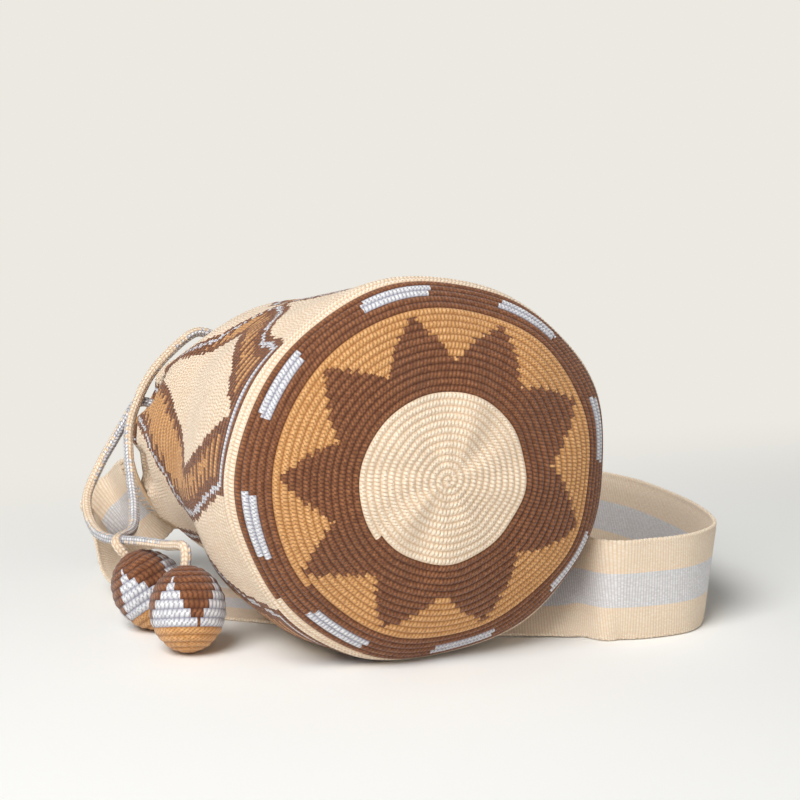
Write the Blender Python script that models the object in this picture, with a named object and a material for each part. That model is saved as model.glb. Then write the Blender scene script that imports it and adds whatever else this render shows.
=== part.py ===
"""A crocheted bucket bag lying on its side, with its woven shoulder strap and its drawcord.

Metres, +Z up. The round base faces -Y and the gathered mouth faces +Y. Every piece is first placed from the
middle of the girth, the widest ring behind the domed base, and the whole bag is then moved so that its box
stands centred on the origin. The drawcord is a free cord, so it is left out of that box.
"""

import math

import bmesh
import bpy
from mathutils import Vector

# Bag body: the driving sizes of the crocheted shell
GIRTH_RADIUS = 0.1075
DOME_RISE = 0.040
SHELL_WALL = 0.0035
SHOULDER_AT = 0.186
SHOULDER_RADIUS = 0.0705
NECK_AT = 0.206
NECK_RADIUS = 0.0580
RIM_AT = 0.226
RIM_RADIUS = 0.0635
SAG_AT_GIRTH = 0.003
SLUMP_WIDTH = 1.045
MOUTH_SHIFT = -0.0435
MOUTH_HEIGHT = 0.0865

# Crochet: rounds of the base, stitches round the bag and the pleats drawn up by the cord
ROUND_PITCH = 0.0038
ROUNDS_PER_RIDGE = 2
RIDGE_HEIGHT = 0.0011
STITCHES_ROUND = 54
WALL_STEP = 0.0125
PLEATS = 9
PLEAT_DEPTH = 0.0070
RIM_PLEAT_DEPTH = 0.0022
PLEAT_REACH = 0.085
INNER_STEP = 0.0135
CENTRE_WALL = 0.0046
EYELET_HEIGHT = 0.010
RIM_ROWS = 2

# Pattern of the base: rounds counted from its centre, and the turns of the star's tips and of the first dash
DISC_ROUNDS = 12.5
STAR_ROOT_ROUNDS = 16.6
STAR_TIP_ROUNDS = 23.4
OCHRE_ROUNDS = 24.6
DASH_ROUNDS = (26.3, 28.3)
BAND_ROUNDS = 29.0
STAR_TIPS = [math.radians(turn) for turn in (-149, -112, -71.5, -22, 25, 65, 99.5, 134.5, 175)]
DASHES = 8
DASH_TURN = math.radians(101)
DASH_HALF = math.radians(10.6)

# Pattern of the wall: four large figures, by their half width in degrees at each share of the wall's length
FIGURES = 4
FIGURE_TURN = math.radians(158)
FIGURE_EDGE = [(0.0, 20.5), (0.28, 38.5), (0.54, 9.0), (0.74, 31.0), (0.82, 31.0)]
FIGURE_BORDER = 7.0
DIAMOND_SHARES = (0.04, 0.46)
DIAMOND_WIDTH = 20.5
DIAMOND_BORDER = 4.0

# Shoulder strap
STRAP_WIDTH = 0.060
STRAP_THICKNESS = 0.0026
STRAP_STEP = 0.006
STRAP_STRIPE = 0.34
RIB_HEIGHT = 0.0003
PRESSED_TILT = 0.035
STRAP_ANGLE = math.radians(30)
SEWN_LENGTH = 0.011
SEWN_FADE = 0.030

# Drawcord and the balls on its ends
CORD_DIAMETER = 0.006
CORD_STEP = 0.0135
CORD_SEGMENTS = 2
CORD_EASE = 0.0030
CORD_TUCK = 0.0020
NECK_RISE = 0.010
BALL_RADIUS = 0.0208
BALL_STRETCH = 1.10
BALL_WALL = 0.0030
BALL_RIDGE = 0.0005
BALL_ROUNDS = 7
BALL_SEGMENTS = 18
BALL_PEAKS = 4
PEAK_SHARES = (0.70, -0.30)
FILLING_SEGMENTS = (16, 10)
FRONT_BALL_AT = (-1.107, 0.248)
FRONT_BALL_AXIS = Vector((0.05, 0.30, 0.95))
BACK_BALL_AT = (-1.191, 0.478)
BACK_BALL_AXIS = Vector((-0.46, 0.40, 0.79))

# How finely the outline is searched, drawn and measured, and which edges stay sharp
BISECTIONS = 30
ARC_STEPS = 40
SLOPE_SHARE = 0.004
SHARP_ANGLE = math.radians(50)
MERGE_DISTANCE = 1e-6

# Clearances between pieces that touch
FABRIC_GAP = 0.0003
FIT_GAP = 0.0003
SEAM_GAP = 0.0020
FLANK_GAP = 0.0045
TREAD_MARGIN = 0.030
PRESS_SOFTNESS = 0.0022
SETTLE_FROM = 0.004
SETTLE_OVER = 0.008

COLOURS = {
    "cream_yarn": (0.82, 0.66, 0.48, 0.85),
    "brown_yarn": (0.22, 0.10, 0.055, 0.85),
    "ochre_yarn": (0.60, 0.32, 0.13, 0.85),
    "silver_yarn": (0.66, 0.62, 0.60, 0.55),
    "cord_yarn": (0.72, 0.63, 0.54, 0.75),
    "stuffing": (0.90, 0.88, 0.84, 0.95),
}


def clear_scene():
    for found in list(bpy.data.objects):
        bpy.data.objects.remove(found, do_unlink=True)


def yarn(name):
    """A matt material of the yarn's colour, made once and then shared."""
    known = bpy.data.materials.get(name)
    if known:
        return known
    material = bpy.data.materials.new(name)
    material.use_nodes = True
    shader = material.node_tree.nodes["Principled BSDF"]
    red, green, blue, roughness = COLOURS[name]
    shader.inputs["Base Color"].default_value = (red, green, blue, 1)
    shader.inputs["Roughness"].default_value = roughness
    shader.inputs["Metallic"].default_value = 0.0
    material.diffuse_color = (red, green, blue, 1)
    return material


def smooth_step(value):
    value = min(max(value, 0.0), 1.0)
    return value * value * (3 - 2 * value)


def curve_through(points, share):
    """The point at a share of the way along a smooth curve through the points (Catmull-Rom)."""
    place = min(max(share, 0.0), 1.0) * (len(points) - 1)
    index = min(int(place), len(points) - 2)
    t = place - index
    before = points[max(index - 1, 0)]
    start, end = points[index], points[index + 1]
    after = points[min(index + 2, len(points) - 1)]
    bend = (2 * before - 5 * start + 4 * end - after) * t * t
    twist = (3 * start - before - 3 * end + after) * t * t * t
    return start + ((end - before) * t + bend + twist) * 0.5


def evenly_along(points, step, samples=600):
    """(shares, length): the shares of the curve that lie about one step apart along it."""
    shares = [index / samples for index in range(samples + 1)]
    places = [curve_through(points, share) for share in shares]
    lengths = [0.0]
    for near, far in zip(places, places[1:]):
        lengths.append(lengths[-1] + (far - near).length)
    count = max(round(lengths[-1] / step), 2)
    found = []
    index = 0
    for number in range(count + 1):
        wanted = lengths[-1] * number / count
        while index < samples - 1 and lengths[index + 1] < wanted:
            index += 1
        part = (wanted - lengths[index]) / (lengths[index + 1] - lengths[index])
        found.append(shares[index] + part * (shares[index + 1] - shares[index]))
    return found, lengths[-1]


def bag_line():
    """Rings behind the girth: distance, radius, and shares of the mouth's shift and of its drop."""
    middle = SHOULDER_AT * 0.62
    return [
        Vector((0.0, GIRTH_RADIUS, 0.0, 0.0)),
        Vector((middle * 0.5, GIRTH_RADIUS * 0.971, 0.15, 0.39)),
        Vector((middle, GIRTH_RADIUS * 0.858, 0.32, 0.31)),
        Vector((SHOULDER_AT * 0.85, GIRTH_RADIUS * 0.776, 0.54, 0.37)),
        Vector((SHOULDER_AT, SHOULDER_RADIUS, 0.73, 0.61)),
        Vector((NECK_AT, NECK_RADIUS, 0.89, 0.83)),
        Vector((RIM_AT, RIM_RADIUS, 1.0, 1.0)),
    ]


def share_at(line, distance):
    """The share of the way along the line at which it is that far behind the girth."""
    low, high = 0.0, 1.0
    for _ in range(BISECTIONS):
        middle = (low + high) / 2
        if curve_through(line, middle).x < distance:
            low = middle
        else:
            high = middle
    return high


def centre_at(distance):
    """The middle of the bag at a distance behind the girth: it slumps down and to the left."""
    line = bag_line()
    ring_there = curve_through(line, share_at(line, distance) if distance > 0 else 0.0)
    girth_height = GIRTH_RADIUS - SAG_AT_GIRTH
    drop = (MOUTH_HEIGHT - girth_height) * ring_there.w
    return Vector((MOUTH_SHIFT * ring_there.z, distance, girth_height + drop))


def on_floor(across, along, height=0.0):
    """A point beside the bag: across and up in girth radii, along in lengths of the wall."""
    return Vector((across * GIRTH_RADIUS, along * RIM_AT, height * GIRTH_RADIUS))


def flank_stretch():
    """The strap coming out from under the right flank: flat below the bag, upright once there is room."""
    stretch = []
    for across, front in ((0.55, 0.060), (0.70, 0.020), (0.83, -0.015), (0.93, -0.040), (1.02, -0.065)):
        x = across * GIRTH_RADIUS
        inside = max((GIRTH_RADIUS * SLUMP_WIDTH) ** 2 - x**2, 0.0)
        room = centre_at(0).z - math.sqrt(inside) - FLANK_GAP
        rise = min(max(room, STRAP_THICKNESS), STRAP_WIDTH) / STRAP_WIDTH
        level = math.sqrt(1 - rise**2)
        middle = Vector((x, front * RIM_AT + level * STRAP_WIDTH / 2, rise * STRAP_WIDTH / 2))
        stretch.append((middle, Vector((0, -level, -rise))))
    return stretch


def strap_route():
    """The strap's middle line and, at each point, the direction across it, from one end to the other."""
    left, left_side = rim_place(math.pi + STRAP_ANGLE), rim_tangent(math.pi + STRAP_ANGLE)
    right, right_side = rim_place(STRAP_ANGLE), -rim_tangent(STRAP_ANGLE)
    upright = STRAP_WIDTH / 2 / GIRTH_RADIUS
    return [
        (rim_place(math.pi + STRAP_ANGLE, SEWN_LENGTH), left_side),
        (left + Vector((-0.07, 0.28, -0.14)) * SEWN_LENGTH, left_side),
        (on_floor(-1.04, 1.09, 0.344), Vector((0.02, 0.02, 1.0))),
        (on_floor(-1.17, 1.09, 0.265), Vector((-0.30, 0.20, 0.93))),
        (on_floor(-1.17, 1.00, 0.200), Vector((-0.66, 0.17, 0.73))),
        (on_floor(-1.09, 0.91, 0.144), Vector((-0.90, 0.12, 0.43))),
        (on_floor(-0.99, 0.80, 0.079), Vector((-0.97, 0.02, 0.21))),
        (on_floor(-0.80, 0.67, 0.028), Vector((-0.93, -0.35, 0.05))),
        (on_floor(-0.51, 0.54, 0.013), Vector((-0.80, -0.60, 0.0))),
        (on_floor(-0.15, 0.41, 0.013), Vector((-0.62, -0.78, 0.0))),
        (on_floor(0.22, 0.28, 0.013), Vector((-0.40, -0.91, 0.0))),
        *flank_stretch(),
        (on_floor(1.24, -0.090, upright), Vector((0, 0, -1))),
        (on_floor(1.52, -0.075, upright), Vector((0, 0, -1))),
        (on_floor(1.74, 0.02, upright), Vector((0, 0, -1))),
        (on_floor(1.85, 0.20, upright), Vector((0, 0, -1))),
        (on_floor(1.91, 0.41, upright), Vector((0, 0, -1))),
        (on_floor(1.89, 0.62, upright), Vector((0.03, 0.0, -1.0))),
        (on_floor(1.73, 0.83, upright * 1.15), Vector((0.08, 0.04, -0.99))),
        (on_floor(1.40, 0.99, upright * 1.60), Vector((0.16, 0.08, -0.98))),
        (on_floor(0.99, 1.08, upright * 2.35), Vector((0.26, 0.08, -0.96))),
        (on_floor(0.64, 1.12, upright * 2.90), Vector((0.40, 0.34, -0.86))),
        (right + Vector((0.80, 2.20, -0.10)) * SEWN_LENGTH, Vector((0.50, 0.10, -0.86))),
        (right + Vector((0.10, 0.60, 0.05)) * SEWN_LENGTH, right_side),
        (rim_place(STRAP_ANGLE, SEWN_LENGTH), right_side),
    ]


def rim_place(angle, before=0.0):
    """Where the strap is sewn: just outside the pleats, at the rim or some way before it."""
    distance = RIM_AT - before
    line = bag_line()
    out = curve_through(line, share_at(line, distance)).y + pleat_depth(distance)
    out += SEAM_GAP + STRAP_THICKNESS / 2
    return centre_at(distance) + Vector((math.cos(angle) * out, 0, math.sin(angle) * out))


def rim_tangent(angle):
    """The direction along the rim at an angle, pointing upwards."""
    tangent = Vector((-math.sin(angle), 0, math.cos(angle)))
    return tangent if tangent.z > 0 else -tangent


def support_height(x, y, trodden):
    """How high the floor, or the strap lying on it, holds up the underside of the bag."""
    nearest = min(math.hypot(x - place.x, y - place.y) for place in trodden)
    over = smooth_step((STRAP_WIDTH / 2 + TREAD_MARGIN - nearest) / (TREAD_MARGIN / 2))
    return (STRAP_THICKNESS + FABRIC_GAP) * over


def rest_on(height, floor):
    """A height pressed up by the floor, with a soft turn where the fabric meets it."""
    lift = (height - floor) / PRESS_SOFTNESS
    return floor + PRESS_SOFTNESS * (lift if lift > 30 else math.log1p(math.exp(lift)))


def row_distances():
    """How far behind the girth each round of the wall lies, with one pair of rounds edging the eyelets."""
    near = NECK_AT - EYELET_HEIGHT / 2
    count = round(near / WALL_STEP)
    rows = [near * (number + 1) / count for number in range(count)]
    far = NECK_AT + EYELET_HEIGHT / 2
    return rows + [far + (RIM_AT - far) * number / RIM_ROWS for number in range(RIM_ROWS + 1)]


def wall_rows():
    """(place on the outline, outward direction) of each round behind the girth."""
    line = bag_line()
    rows = []
    for distance in row_distances():
        share = share_at(line, distance)
        ahead = curve_through(line, min(share + SLOPE_SHARE, 1.0)).to_2d()
        back = curve_through(line, max(share - SLOPE_SHARE, 0.0)).to_2d()
        along = (ahead - back).normalized()
        rows.append((curve_through(line, share).to_2d(), Vector((-along.y, along.x))))
    return rows


def dome_rows(step, inset=0.0):
    """Rows of the domed base from its centre to the girth, evenly spaced along the curve."""
    wide, deep = GIRTH_RADIUS - inset, DOME_RISE - inset
    arc = [
        Vector((-math.cos(turn) * deep, math.sin(turn) * wide))
        for turn in (index * math.pi / 2 / ARC_STEPS for index in range(ARC_STEPS + 1))
    ]
    rows = []
    for share in evenly_along(arc, step)[0][1:]:
        place = curve_through(arc, share)
        out = Vector((place.x / deep**2, place.y / wide**2)).normalized()
        rows.append((place, out))
    return rows


def slump(distance):
    """How much wider than tall the bag's own weight makes it: most at the girth, not at all at its ends."""
    from_girth = distance / NECK_AT if distance > 0 else -distance / DOME_RISE
    return SLUMP_WIDTH + (1 - SLUMP_WIDTH) * smooth_step(from_girth)


def pleat_wave(angle):
    return min(max(2 * math.sin(PLEATS * angle), -1.0), 1.0)


def pleat_depth(distance):
    """The depth of the gathers: none on the wall, deepest at the neck and shallow at the rim."""
    if distance > NECK_AT:
        share = (distance - NECK_AT) / (RIM_AT - NECK_AT)
        return PLEAT_DEPTH + (RIM_PLEAT_DEPTH - PLEAT_DEPTH) * smooth_step(share)
    share = 1 - (NECK_AT - distance) / PLEAT_REACH
    return PLEAT_DEPTH * smooth_step(share) ** 1.5


def ring(mesh, place, out, lift, inset, trodden):
    """One round of vertices, pleated where the mouth is gathered and pressed up by the floor."""
    distance = place.x + out.x * lift
    radius = place.y + out.y * lift - inset
    centre = centre_at(place.x)
    found = []
    for stitch in range(STITCHES_ROUND):
        angle = 2 * math.pi * (stitch + 0.5) / STITCHES_ROUND
        reach = radius + pleat_wave(angle) * pleat_depth(place.x)
        x = centre.x + math.cos(angle) * reach * slump(place.x)
        z = centre.z + math.sin(angle) * reach
        floor = support_height(x, distance, trodden) + inset
        found.append(mesh.verts.new((x, distance, rest_on(z, floor))))
    return found


def join_rings(mesh, near, far, skip=()):
    """Faces between two rounds, leaving out the eyelets."""
    faces = {}
    for stitch in range(len(near)):
        following = (stitch + 1) % len(near)
        if stitch in skip:
            continue
        corners = (near[stitch], near[following], far[following], far[stitch])
        faces[stitch] = mesh.faces.new(corners)
    return faces


def cap(mesh, round_, centre):
    for stitch in range(len(round_)):
        mesh.faces.new((round_[stitch], centre, round_[(stitch + 1) % len(round_)]))


def turn_between(angle, other):
    return (angle - other + math.pi) % (2 * math.pi) - math.pi


def base_colour(rounds, angle):
    """The yarn of a stitch of the base: a disc, a star with pointed rays on ochre, and a band with dashes."""
    if rounds < DISC_ROUNDS:
        return "cream_yarn"
    if rounds < OCHRE_ROUNDS:
        climb = (rounds - STAR_ROOT_ROUNDS) / (STAR_TIP_ROUNDS - STAR_ROOT_ROUNDS)
        away = min(abs(turn_between(angle, tip)) for tip in STAR_TIPS)
        in_ray = away < math.pi / len(STAR_TIPS) * (1 - climb)
        return "brown_yarn" if climb < 0 or in_ray else "ochre_yarn"
    if rounds < BAND_ROUNDS:
        pitch = 2 * math.pi / DASHES
        swing = (turn_between(angle, DASH_TURN) + pitch / 2) % pitch - pitch / 2
        in_dash = DASH_ROUNDS[0] < rounds < DASH_ROUNDS[1] and abs(swing) < DASH_HALF
        return "silver_yarn" if in_dash else "brown_yarn"
    return "cream_yarn"


def figure_half_width(share):
    """Half the width of a figure, in degrees round the bag, at a share of the wall's length."""
    for (near, near_width), (far, far_width) in zip(FIGURE_EDGE, FIGURE_EDGE[1:]):
        if near <= share <= far:
            return near_width + (far_width - near_width) * (share - near) / (far - near)
    return 0.0


def wall_colour(share, angle):
    """The yarn of a stitch of the wall: large figures with a plain diamond in the middle, on cream."""
    pitch = 360 / FIGURES
    swing = math.degrees(turn_between(angle, FIGURE_TURN))
    away = abs((swing + pitch / 2) % pitch - pitch / 2)
    inside = figure_half_width(share) - away
    near, far = DIAMOND_SHARES
    from_middle = abs(share - (near + far) / 2) / ((far - near) / 2)
    beyond = away - DIAMOND_WIDTH * (1 - from_middle)
    if inside < 0 or beyond < 0:
        return "cream_yarn"
    return "brown_yarn" if inside < FIGURE_BORDER or beyond < DIAMOND_BORDER else "ochre_yarn"


def paint(obj, chooser):
    """Gives each face the yarn that the chooser names for its middle."""
    names = ["cream_yarn", "brown_yarn", "ochre_yarn", "silver_yarn"]
    for name in names:
        obj.data.materials.append(yarn(name))
    for face in obj.data.polygons:
        face.material_index = names.index(chooser(face.center))


def body_colour(point):
    centre = centre_at(point.y)
    across = point.x - centre.x
    height = point.z - centre.z
    if point.y > 0:
        return wall_colour(point.y / RIM_AT, math.atan2(height, across))
    radius = math.hypot(across / SLUMP_WIDTH, height)
    from_centre = math.hypot(radius, DOME_RISE + point.y)
    return base_colour(from_centre / ROUND_PITCH, math.atan2(height, across))


def finished(name, mesh):
    """An object made from the bmesh, with its faces pointing out."""
    bmesh.ops.recalc_face_normals(mesh, faces=mesh.faces)
    data = bpy.data.meshes.new(name)
    mesh.to_mesh(data)
    mesh.free()
    obj = bpy.data.objects.new(name, data)
    bpy.context.collection.objects.link(obj)
    data.shade_smooth()
    data.set_sharp_from_angle(angle=SHARP_ANGLE)
    return obj


def bag_body():
    """The crocheted shell: ridged domed base, wall, gathered neck with eyelets and flared rim."""
    mesh = bmesh.new()
    trodden = [place for place, _ in strap_points(STRAP_STEP * 2) if place.z < STRAP_WIDTH / 3]
    walls = wall_rows()
    neck = len(walls) - RIM_ROWS - 2
    kept = [number for number in range(len(walls)) if number % 2 or number > neck - 4]

    outer = []
    for number, (place, out) in enumerate(dome_rows(ROUND_PITCH * ROUNDS_PER_RIDGE / 2)):
        outer.append(ring(mesh, place, out, 0.0 if number % 2 else -RIDGE_HEIGHT, 0.0, trodden))
    outer_neck = len(outer) + neck
    outer += [ring(mesh, place, out, 0.0, 0.0, trodden) for place, out in walls]

    inner = [ring(mesh, place, out, 0.0, 0.0, trodden) for place, out in dome_rows(INNER_STEP, CENTRE_WALL)]
    for vert in (vert for round_ in inner for vert in round_):
        vert.co.z = max(vert.co.z, support_height(vert.co.x, vert.co.y, trodden) + SHELL_WALL)
    inner_neck = len(inner) + kept.index(neck)
    inner += [ring(mesh, *walls[number], 0.0, SHELL_WALL, trodden) for number in kept]

    middle = centre_at(0)
    cap(mesh, outer[0], mesh.verts.new((middle.x, -DOME_RISE, middle.z)))
    cap(mesh, inner[0], mesh.verts.new((middle.x, -DOME_RISE + CENTRE_WALL, middle.z)))
    join_rings(mesh, outer[-1], inner[-1])
    half = STITCHES_ROUND // (PLEATS * 2)
    eyelets = [stitch for stitch in range(STITCHES_ROUND) if stitch % half == half - 1]
    for skin, open_row in ((outer, outer_neck), (inner, inner_neck)):
        for number in range(1, len(skin)):
            join_rings(mesh, skin[number - 1], skin[number], eyelets if number - 1 == open_row else ())
    near_far = outer[outer_neck : outer_neck + 2], inner[inner_neck : inner_neck + 2]
    line_eyelets(mesh, eyelets, *near_far)
    body = finished("bag_body", mesh)
    paint(body, body_colour)
    return body


def line_eyelets(mesh, eyelets, outer, inner):
    """The four sides of each eyelet, between the outer and inner skins."""
    for stitch in eyelets:
        following = (stitch + 1) % STITCHES_ROUND
        corners = [(0, stitch), (0, following), (1, following), (1, stitch)]
        for (row, place), (next_row, next_place) in zip(corners, corners[1:] + corners[:1]):
            mesh.faces.new(
                (
                    outer[row][place],
                    outer[next_row][next_place],
                    inner[next_row][next_place],
                    inner[row][place],
                )
            )


def strap_points(step):
    """(place, across) along the strap, evenly spaced."""
    route = strap_route()
    places = [place for place, _ in route]
    sides = [side for _, side in route]
    shares, _ = evenly_along(places, step)
    return [(curve_through(places, share), curve_through(sides, share)) for share in shares]


def floor_lift(place, across, out, half):
    """The move that sets a section of the strap down on the floor, where it runs close above it."""
    low = place.z - abs(across.z) * STRAP_WIDTH / 2 - abs(out.z) * half
    return Vector((0, 0, -low * (1 - smooth_step((low - SETTLE_FROM) / SETTLE_OVER))))


def shoulder_strap():
    """A thick woven band swept along its route, ribbed across, with its ends curved round the rim."""
    mesh = bmesh.new()
    places = strap_points(STRAP_STEP)
    length = STRAP_STEP * (len(places) - 1)
    edges = (-0.5, -STRAP_STRIPE / 2, STRAP_STRIPE / 2, 0.5)
    sections = []
    for number, (place, across) in enumerate(places):
        ahead = places[min(number + 1, len(places) - 1)][0]
        back = places[max(number - 1, 0)][0]
        along = (ahead - back).normalized()
        across = (across - along * across.dot(along)).normalized()
        pressed = abs(across.z) < PRESSED_TILT and place.z < STRAP_THICKNESS * 2
        if pressed:
            across = Vector((across.x, across.y, 0)).normalized()
            along = Vector((along.x, along.y, 0)).normalized()
        out = along.cross(across)
        travelled = STRAP_STEP * number
        from_end = min(travelled, length - travelled)
        bow = 1 - smooth_step((from_end - SEWN_LENGTH) / SEWN_FADE)
        turned = 1.0 if travelled < length / 2 else -1.0
        rib = RIB_HEIGHT * (1 if number % 2 else -1)
        half = STRAP_THICKNESS / 2 + (0 if pressed else rib)
        section = []
        lift = floor_lift(place, across, out, half)
        for side, row in ((1, edges), (-1, edges[::-1])):
            for edge in row:
                width = STRAP_WIDTH * (1.0 if number % 2 else 0.975)
                angle = edge * width / RIM_RADIUS
                flat = place + across * (edge * width)
                bent = across * (math.sin(angle) * RIM_RADIUS - edge * width) * bow
                dip = out * (turned * (1 - math.cos(angle)) * RIM_RADIUS * bow)
                section.append(mesh.verts.new(flat + bent + dip + out * (half * side) + lift))
        sections.append(section)
    for near, far in zip(sections, sections[1:]):
        join_rings(mesh, near, far)
    for section in (sections[0], sections[-1]):
        for left in range(3):
            mesh.faces.new((section[left], section[left + 1], section[6 - left], section[7 - left]))
    strap = finished("shoulder_strap", mesh)
    for name in ("cream_yarn", "silver_yarn"):
        strap.data.materials.append(yarn(name))
    for face in strap.data.polygons:
        middle = face.index % 8 in (1, 5) and face.index < 8 * (len(sections) - 1)
        face.material_index = 1 if middle else 0
    print("strap length", round(length, 4))
    return strap


def neck_ring(angle, out=0.0):
    """A point on the eyelets' circle, or outside it."""
    centre = centre_at(NECK_AT)
    reach = NECK_RADIUS - SHELL_WALL / 4 + out
    return centre + Vector((math.cos(angle) * reach, 0, math.sin(angle) * reach))


def ball_place(spot, axis):
    """The middle of a ball that rests on the floor with its neck along the axis."""
    lean = axis.normalized().z
    height = BALL_RADIUS * math.sqrt(1 - lean**2 + (BALL_STRETCH * lean) ** 2)
    return on_floor(*spot) + Vector((0, 0, height))


def ball_neck(spot, axis):
    return ball_place(spot, axis) + axis.normalized() * (BALL_RADIUS * BALL_STRETCH)


def cord_route():
    """The drawcord from the front ball, round through the eyelets and down to the other ball."""
    front = ball_neck(FRONT_BALL_AT, FRONT_BALL_AXIS)
    back = ball_neck(BACK_BALL_AT, BACK_BALL_AXIS)
    over = CORD_DIAMETER / 2 + PLEAT_DEPTH + SHELL_WALL / 2 + CORD_EASE
    route = [
        front - FRONT_BALL_AXIS.normalized() * CORD_TUCK,
        front + FRONT_BALL_AXIS.normalized() * NECK_RISE,
        on_floor(-1.121, 0.407, 0.484),
        on_floor(-1.177, 0.527, 0.456),
        on_floor(-1.321, 0.646, 0.409),
        on_floor(-1.423, 0.774, 0.465),
        on_floor(-1.390, 0.885, 0.595),
        on_floor(-1.280, 0.942, 0.772),
        on_floor(-1.130, 0.950, 0.912),
        neck_ring(math.radians(186), over * 0.40),
    ]
    for degrees in range(194, 451, 16):
        route.append(neck_ring(math.radians(degrees)))
    for degrees, share in ((462, 0.2), (473, 0.66), (484, 1.0), (498, 1.15), (512, 1.25), (526, 1.3)):
        route.append(neck_ring(math.radians(degrees), over * share))
    route += [
        on_floor(-1.110, 0.893, 0.893),
        on_floor(-1.126, 0.858, 0.744),
        on_floor(-1.140, 0.810, 0.586),
        on_floor(-1.163, 0.743, 0.474),
        on_floor(-1.219, 0.664, 0.437),
        back + BACK_BALL_AXIS.normalized() * NECK_RISE,
        back - BACK_BALL_AXIS.normalized() * CORD_TUCK,
    ]
    return route


def drawcord():
    route = cord_route()
    shares, length = evenly_along(route, CORD_STEP)
    curve = bpy.data.curves.new("drawcord", "CURVE")
    curve.dimensions = "3D"
    spline = curve.splines.new("POLY")
    spline.points.add(len(shares) - 1)
    for point, share in zip(spline.points, shares):
        point.co = (*curve_through(route, share), 1.0)
    curve.bevel_depth = CORD_DIAMETER / 2
    curve.bevel_resolution = CORD_SEGMENTS
    curve.use_fill_caps = True
    curve.materials.append(yarn("cord_yarn"))
    cord = bpy.data.objects.new("drawcord", curve)
    bpy.context.collection.objects.link(cord)
    print("cord length", round(length, 4), "points", len(shares))
    return cord


def ball_profile(radius, stretch, opening, rounds, ridge):
    """Half the outline of a ball, from its open neck down to its pole."""
    start = math.asin(opening / radius)
    steps = rounds * 2
    points = []
    for step in range(steps):
        turn = start + (math.pi - start) * step / steps
        reach = radius - (ridge if step % 2 else 0.0)
        points.append(Vector((math.sin(turn) * reach, 0, math.cos(turn) * reach * stretch)))
    return points + [Vector((0, 0, -radius * stretch))]


def ball_cover(name, place, axis):
    """A small crocheted ball: two spun skins joined round the hole where the cord goes in."""
    mesh = bmesh.new()
    opening = CORD_DIAMETER / 2 + FIT_GAP * 2
    outer = ball_profile(BALL_RADIUS, BALL_STRETCH, opening, BALL_ROUNDS, BALL_RIDGE)
    inner = ball_profile(BALL_RADIUS - BALL_WALL, BALL_STRETCH, opening, BALL_ROUNDS // 2, 0.0)
    line = [mesh.verts.new(point) for point in outer[::-1] + inner]
    edges = [mesh.edges.new(pair) for pair in zip(line, line[1:])]
    bmesh.ops.spin(
        mesh,
        geom=line + edges,
        axis=(0, 0, 1),
        cent=(0, 0, 0),
        steps=BALL_SEGMENTS,
        angle=2 * math.pi,
        use_merge=True,
    )
    bmesh.ops.remove_doubles(mesh, verts=mesh.verts, dist=MERGE_DISTANCE)
    ball = finished(name, mesh)
    paint(ball, ball_colour)
    ball.location = place
    ball.rotation_euler = Vector((0, 0, 1)).rotation_difference(axis.normalized()).to_euler()
    return ball


def ball_colour(point):
    """A brown cap at the cord, silver peaks that climb into it and an ochre end."""
    height = point.z / (BALL_RADIUS * BALL_STRETCH)
    swing = abs((math.atan2(point.y, point.x) * BALL_PEAKS / (2 * math.pi)) % 1.0 - 0.5) * 2
    top, foot = PEAK_SHARES
    if height < foot:
        return "ochre_yarn"
    return "silver_yarn" if height < top + (foot - top) * swing else "brown_yarn"


def ball_filling(name, place, axis):
    """The wad of stuffing inside a ball, stopping short of the cord's end."""
    mesh = bmesh.new()
    radius = BALL_RADIUS - BALL_WALL - FIT_GAP * 3
    around, up = FILLING_SEGMENTS
    bmesh.ops.create_uvsphere(mesh, u_segments=around, v_segments=up, radius=radius)
    for vert in mesh.verts:
        vert.co.z *= BALL_STRETCH
        vert.co.z = min(vert.co.z, radius * BALL_STRETCH - BALL_WALL)
    filling = finished(name, mesh)
    filling.data.materials.append(yarn("stuffing"))
    filling.location = place
    filling.rotation_euler = Vector((0, 0, 1)).rotation_difference(axis.normalized()).to_euler()
    return filling


def stand_on_origin(pieces, loose):
    """Moves the pieces so that the box of all but the loose ones stands centred on the origin."""
    bpy.context.view_layer.update()
    corners = []
    for piece in pieces:
        if piece not in loose:
            corners += [piece.matrix_world @ vert.co for vert in piece.data.vertices]
    low = Vector(min(corner[axis] for corner in corners) for axis in range(3))
    high = Vector(max(corner[axis] for corner in corners) for axis in range(3))
    shift = Vector((-(low.x + high.x) / 2, -(low.y + high.y) / 2, -low.z))
    for piece in pieces:
        piece.location += shift
    print("box", [round(value, 4) for value in high - low], "shift", [round(v, 5) for v in shift])


def main():
    clear_scene()
    cord = drawcord()
    pieces = [bag_body(), shoulder_strap(), cord]
    for end, spot, axis in (
        ("front", FRONT_BALL_AT, FRONT_BALL_AXIS),
        ("back", BACK_BALL_AT, BACK_BALL_AXIS),
    ):
        place = ball_place(spot, axis)
        pieces.append(ball_cover("ball_cover_" + end, place, axis))
        pieces.append(ball_filling("ball_filling_" + end, place, axis))
    stand_on_origin(pieces, [cord])


main()
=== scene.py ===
# %% [markdown]
# # A crocheted bucket bag lying on its side
# The bag is worked round and round in one spiral of yarn, from the middle of its base to the edge of its
# mouth. It has a woven shoulder strap, sewn to the mouth at both ends, and a drawcord with a stuffed ball on
# each end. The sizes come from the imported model, which is loaded first and never moved. Every piece below is
# made in the same metres and the same place as the solid that it dresses.

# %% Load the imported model
import math

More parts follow.
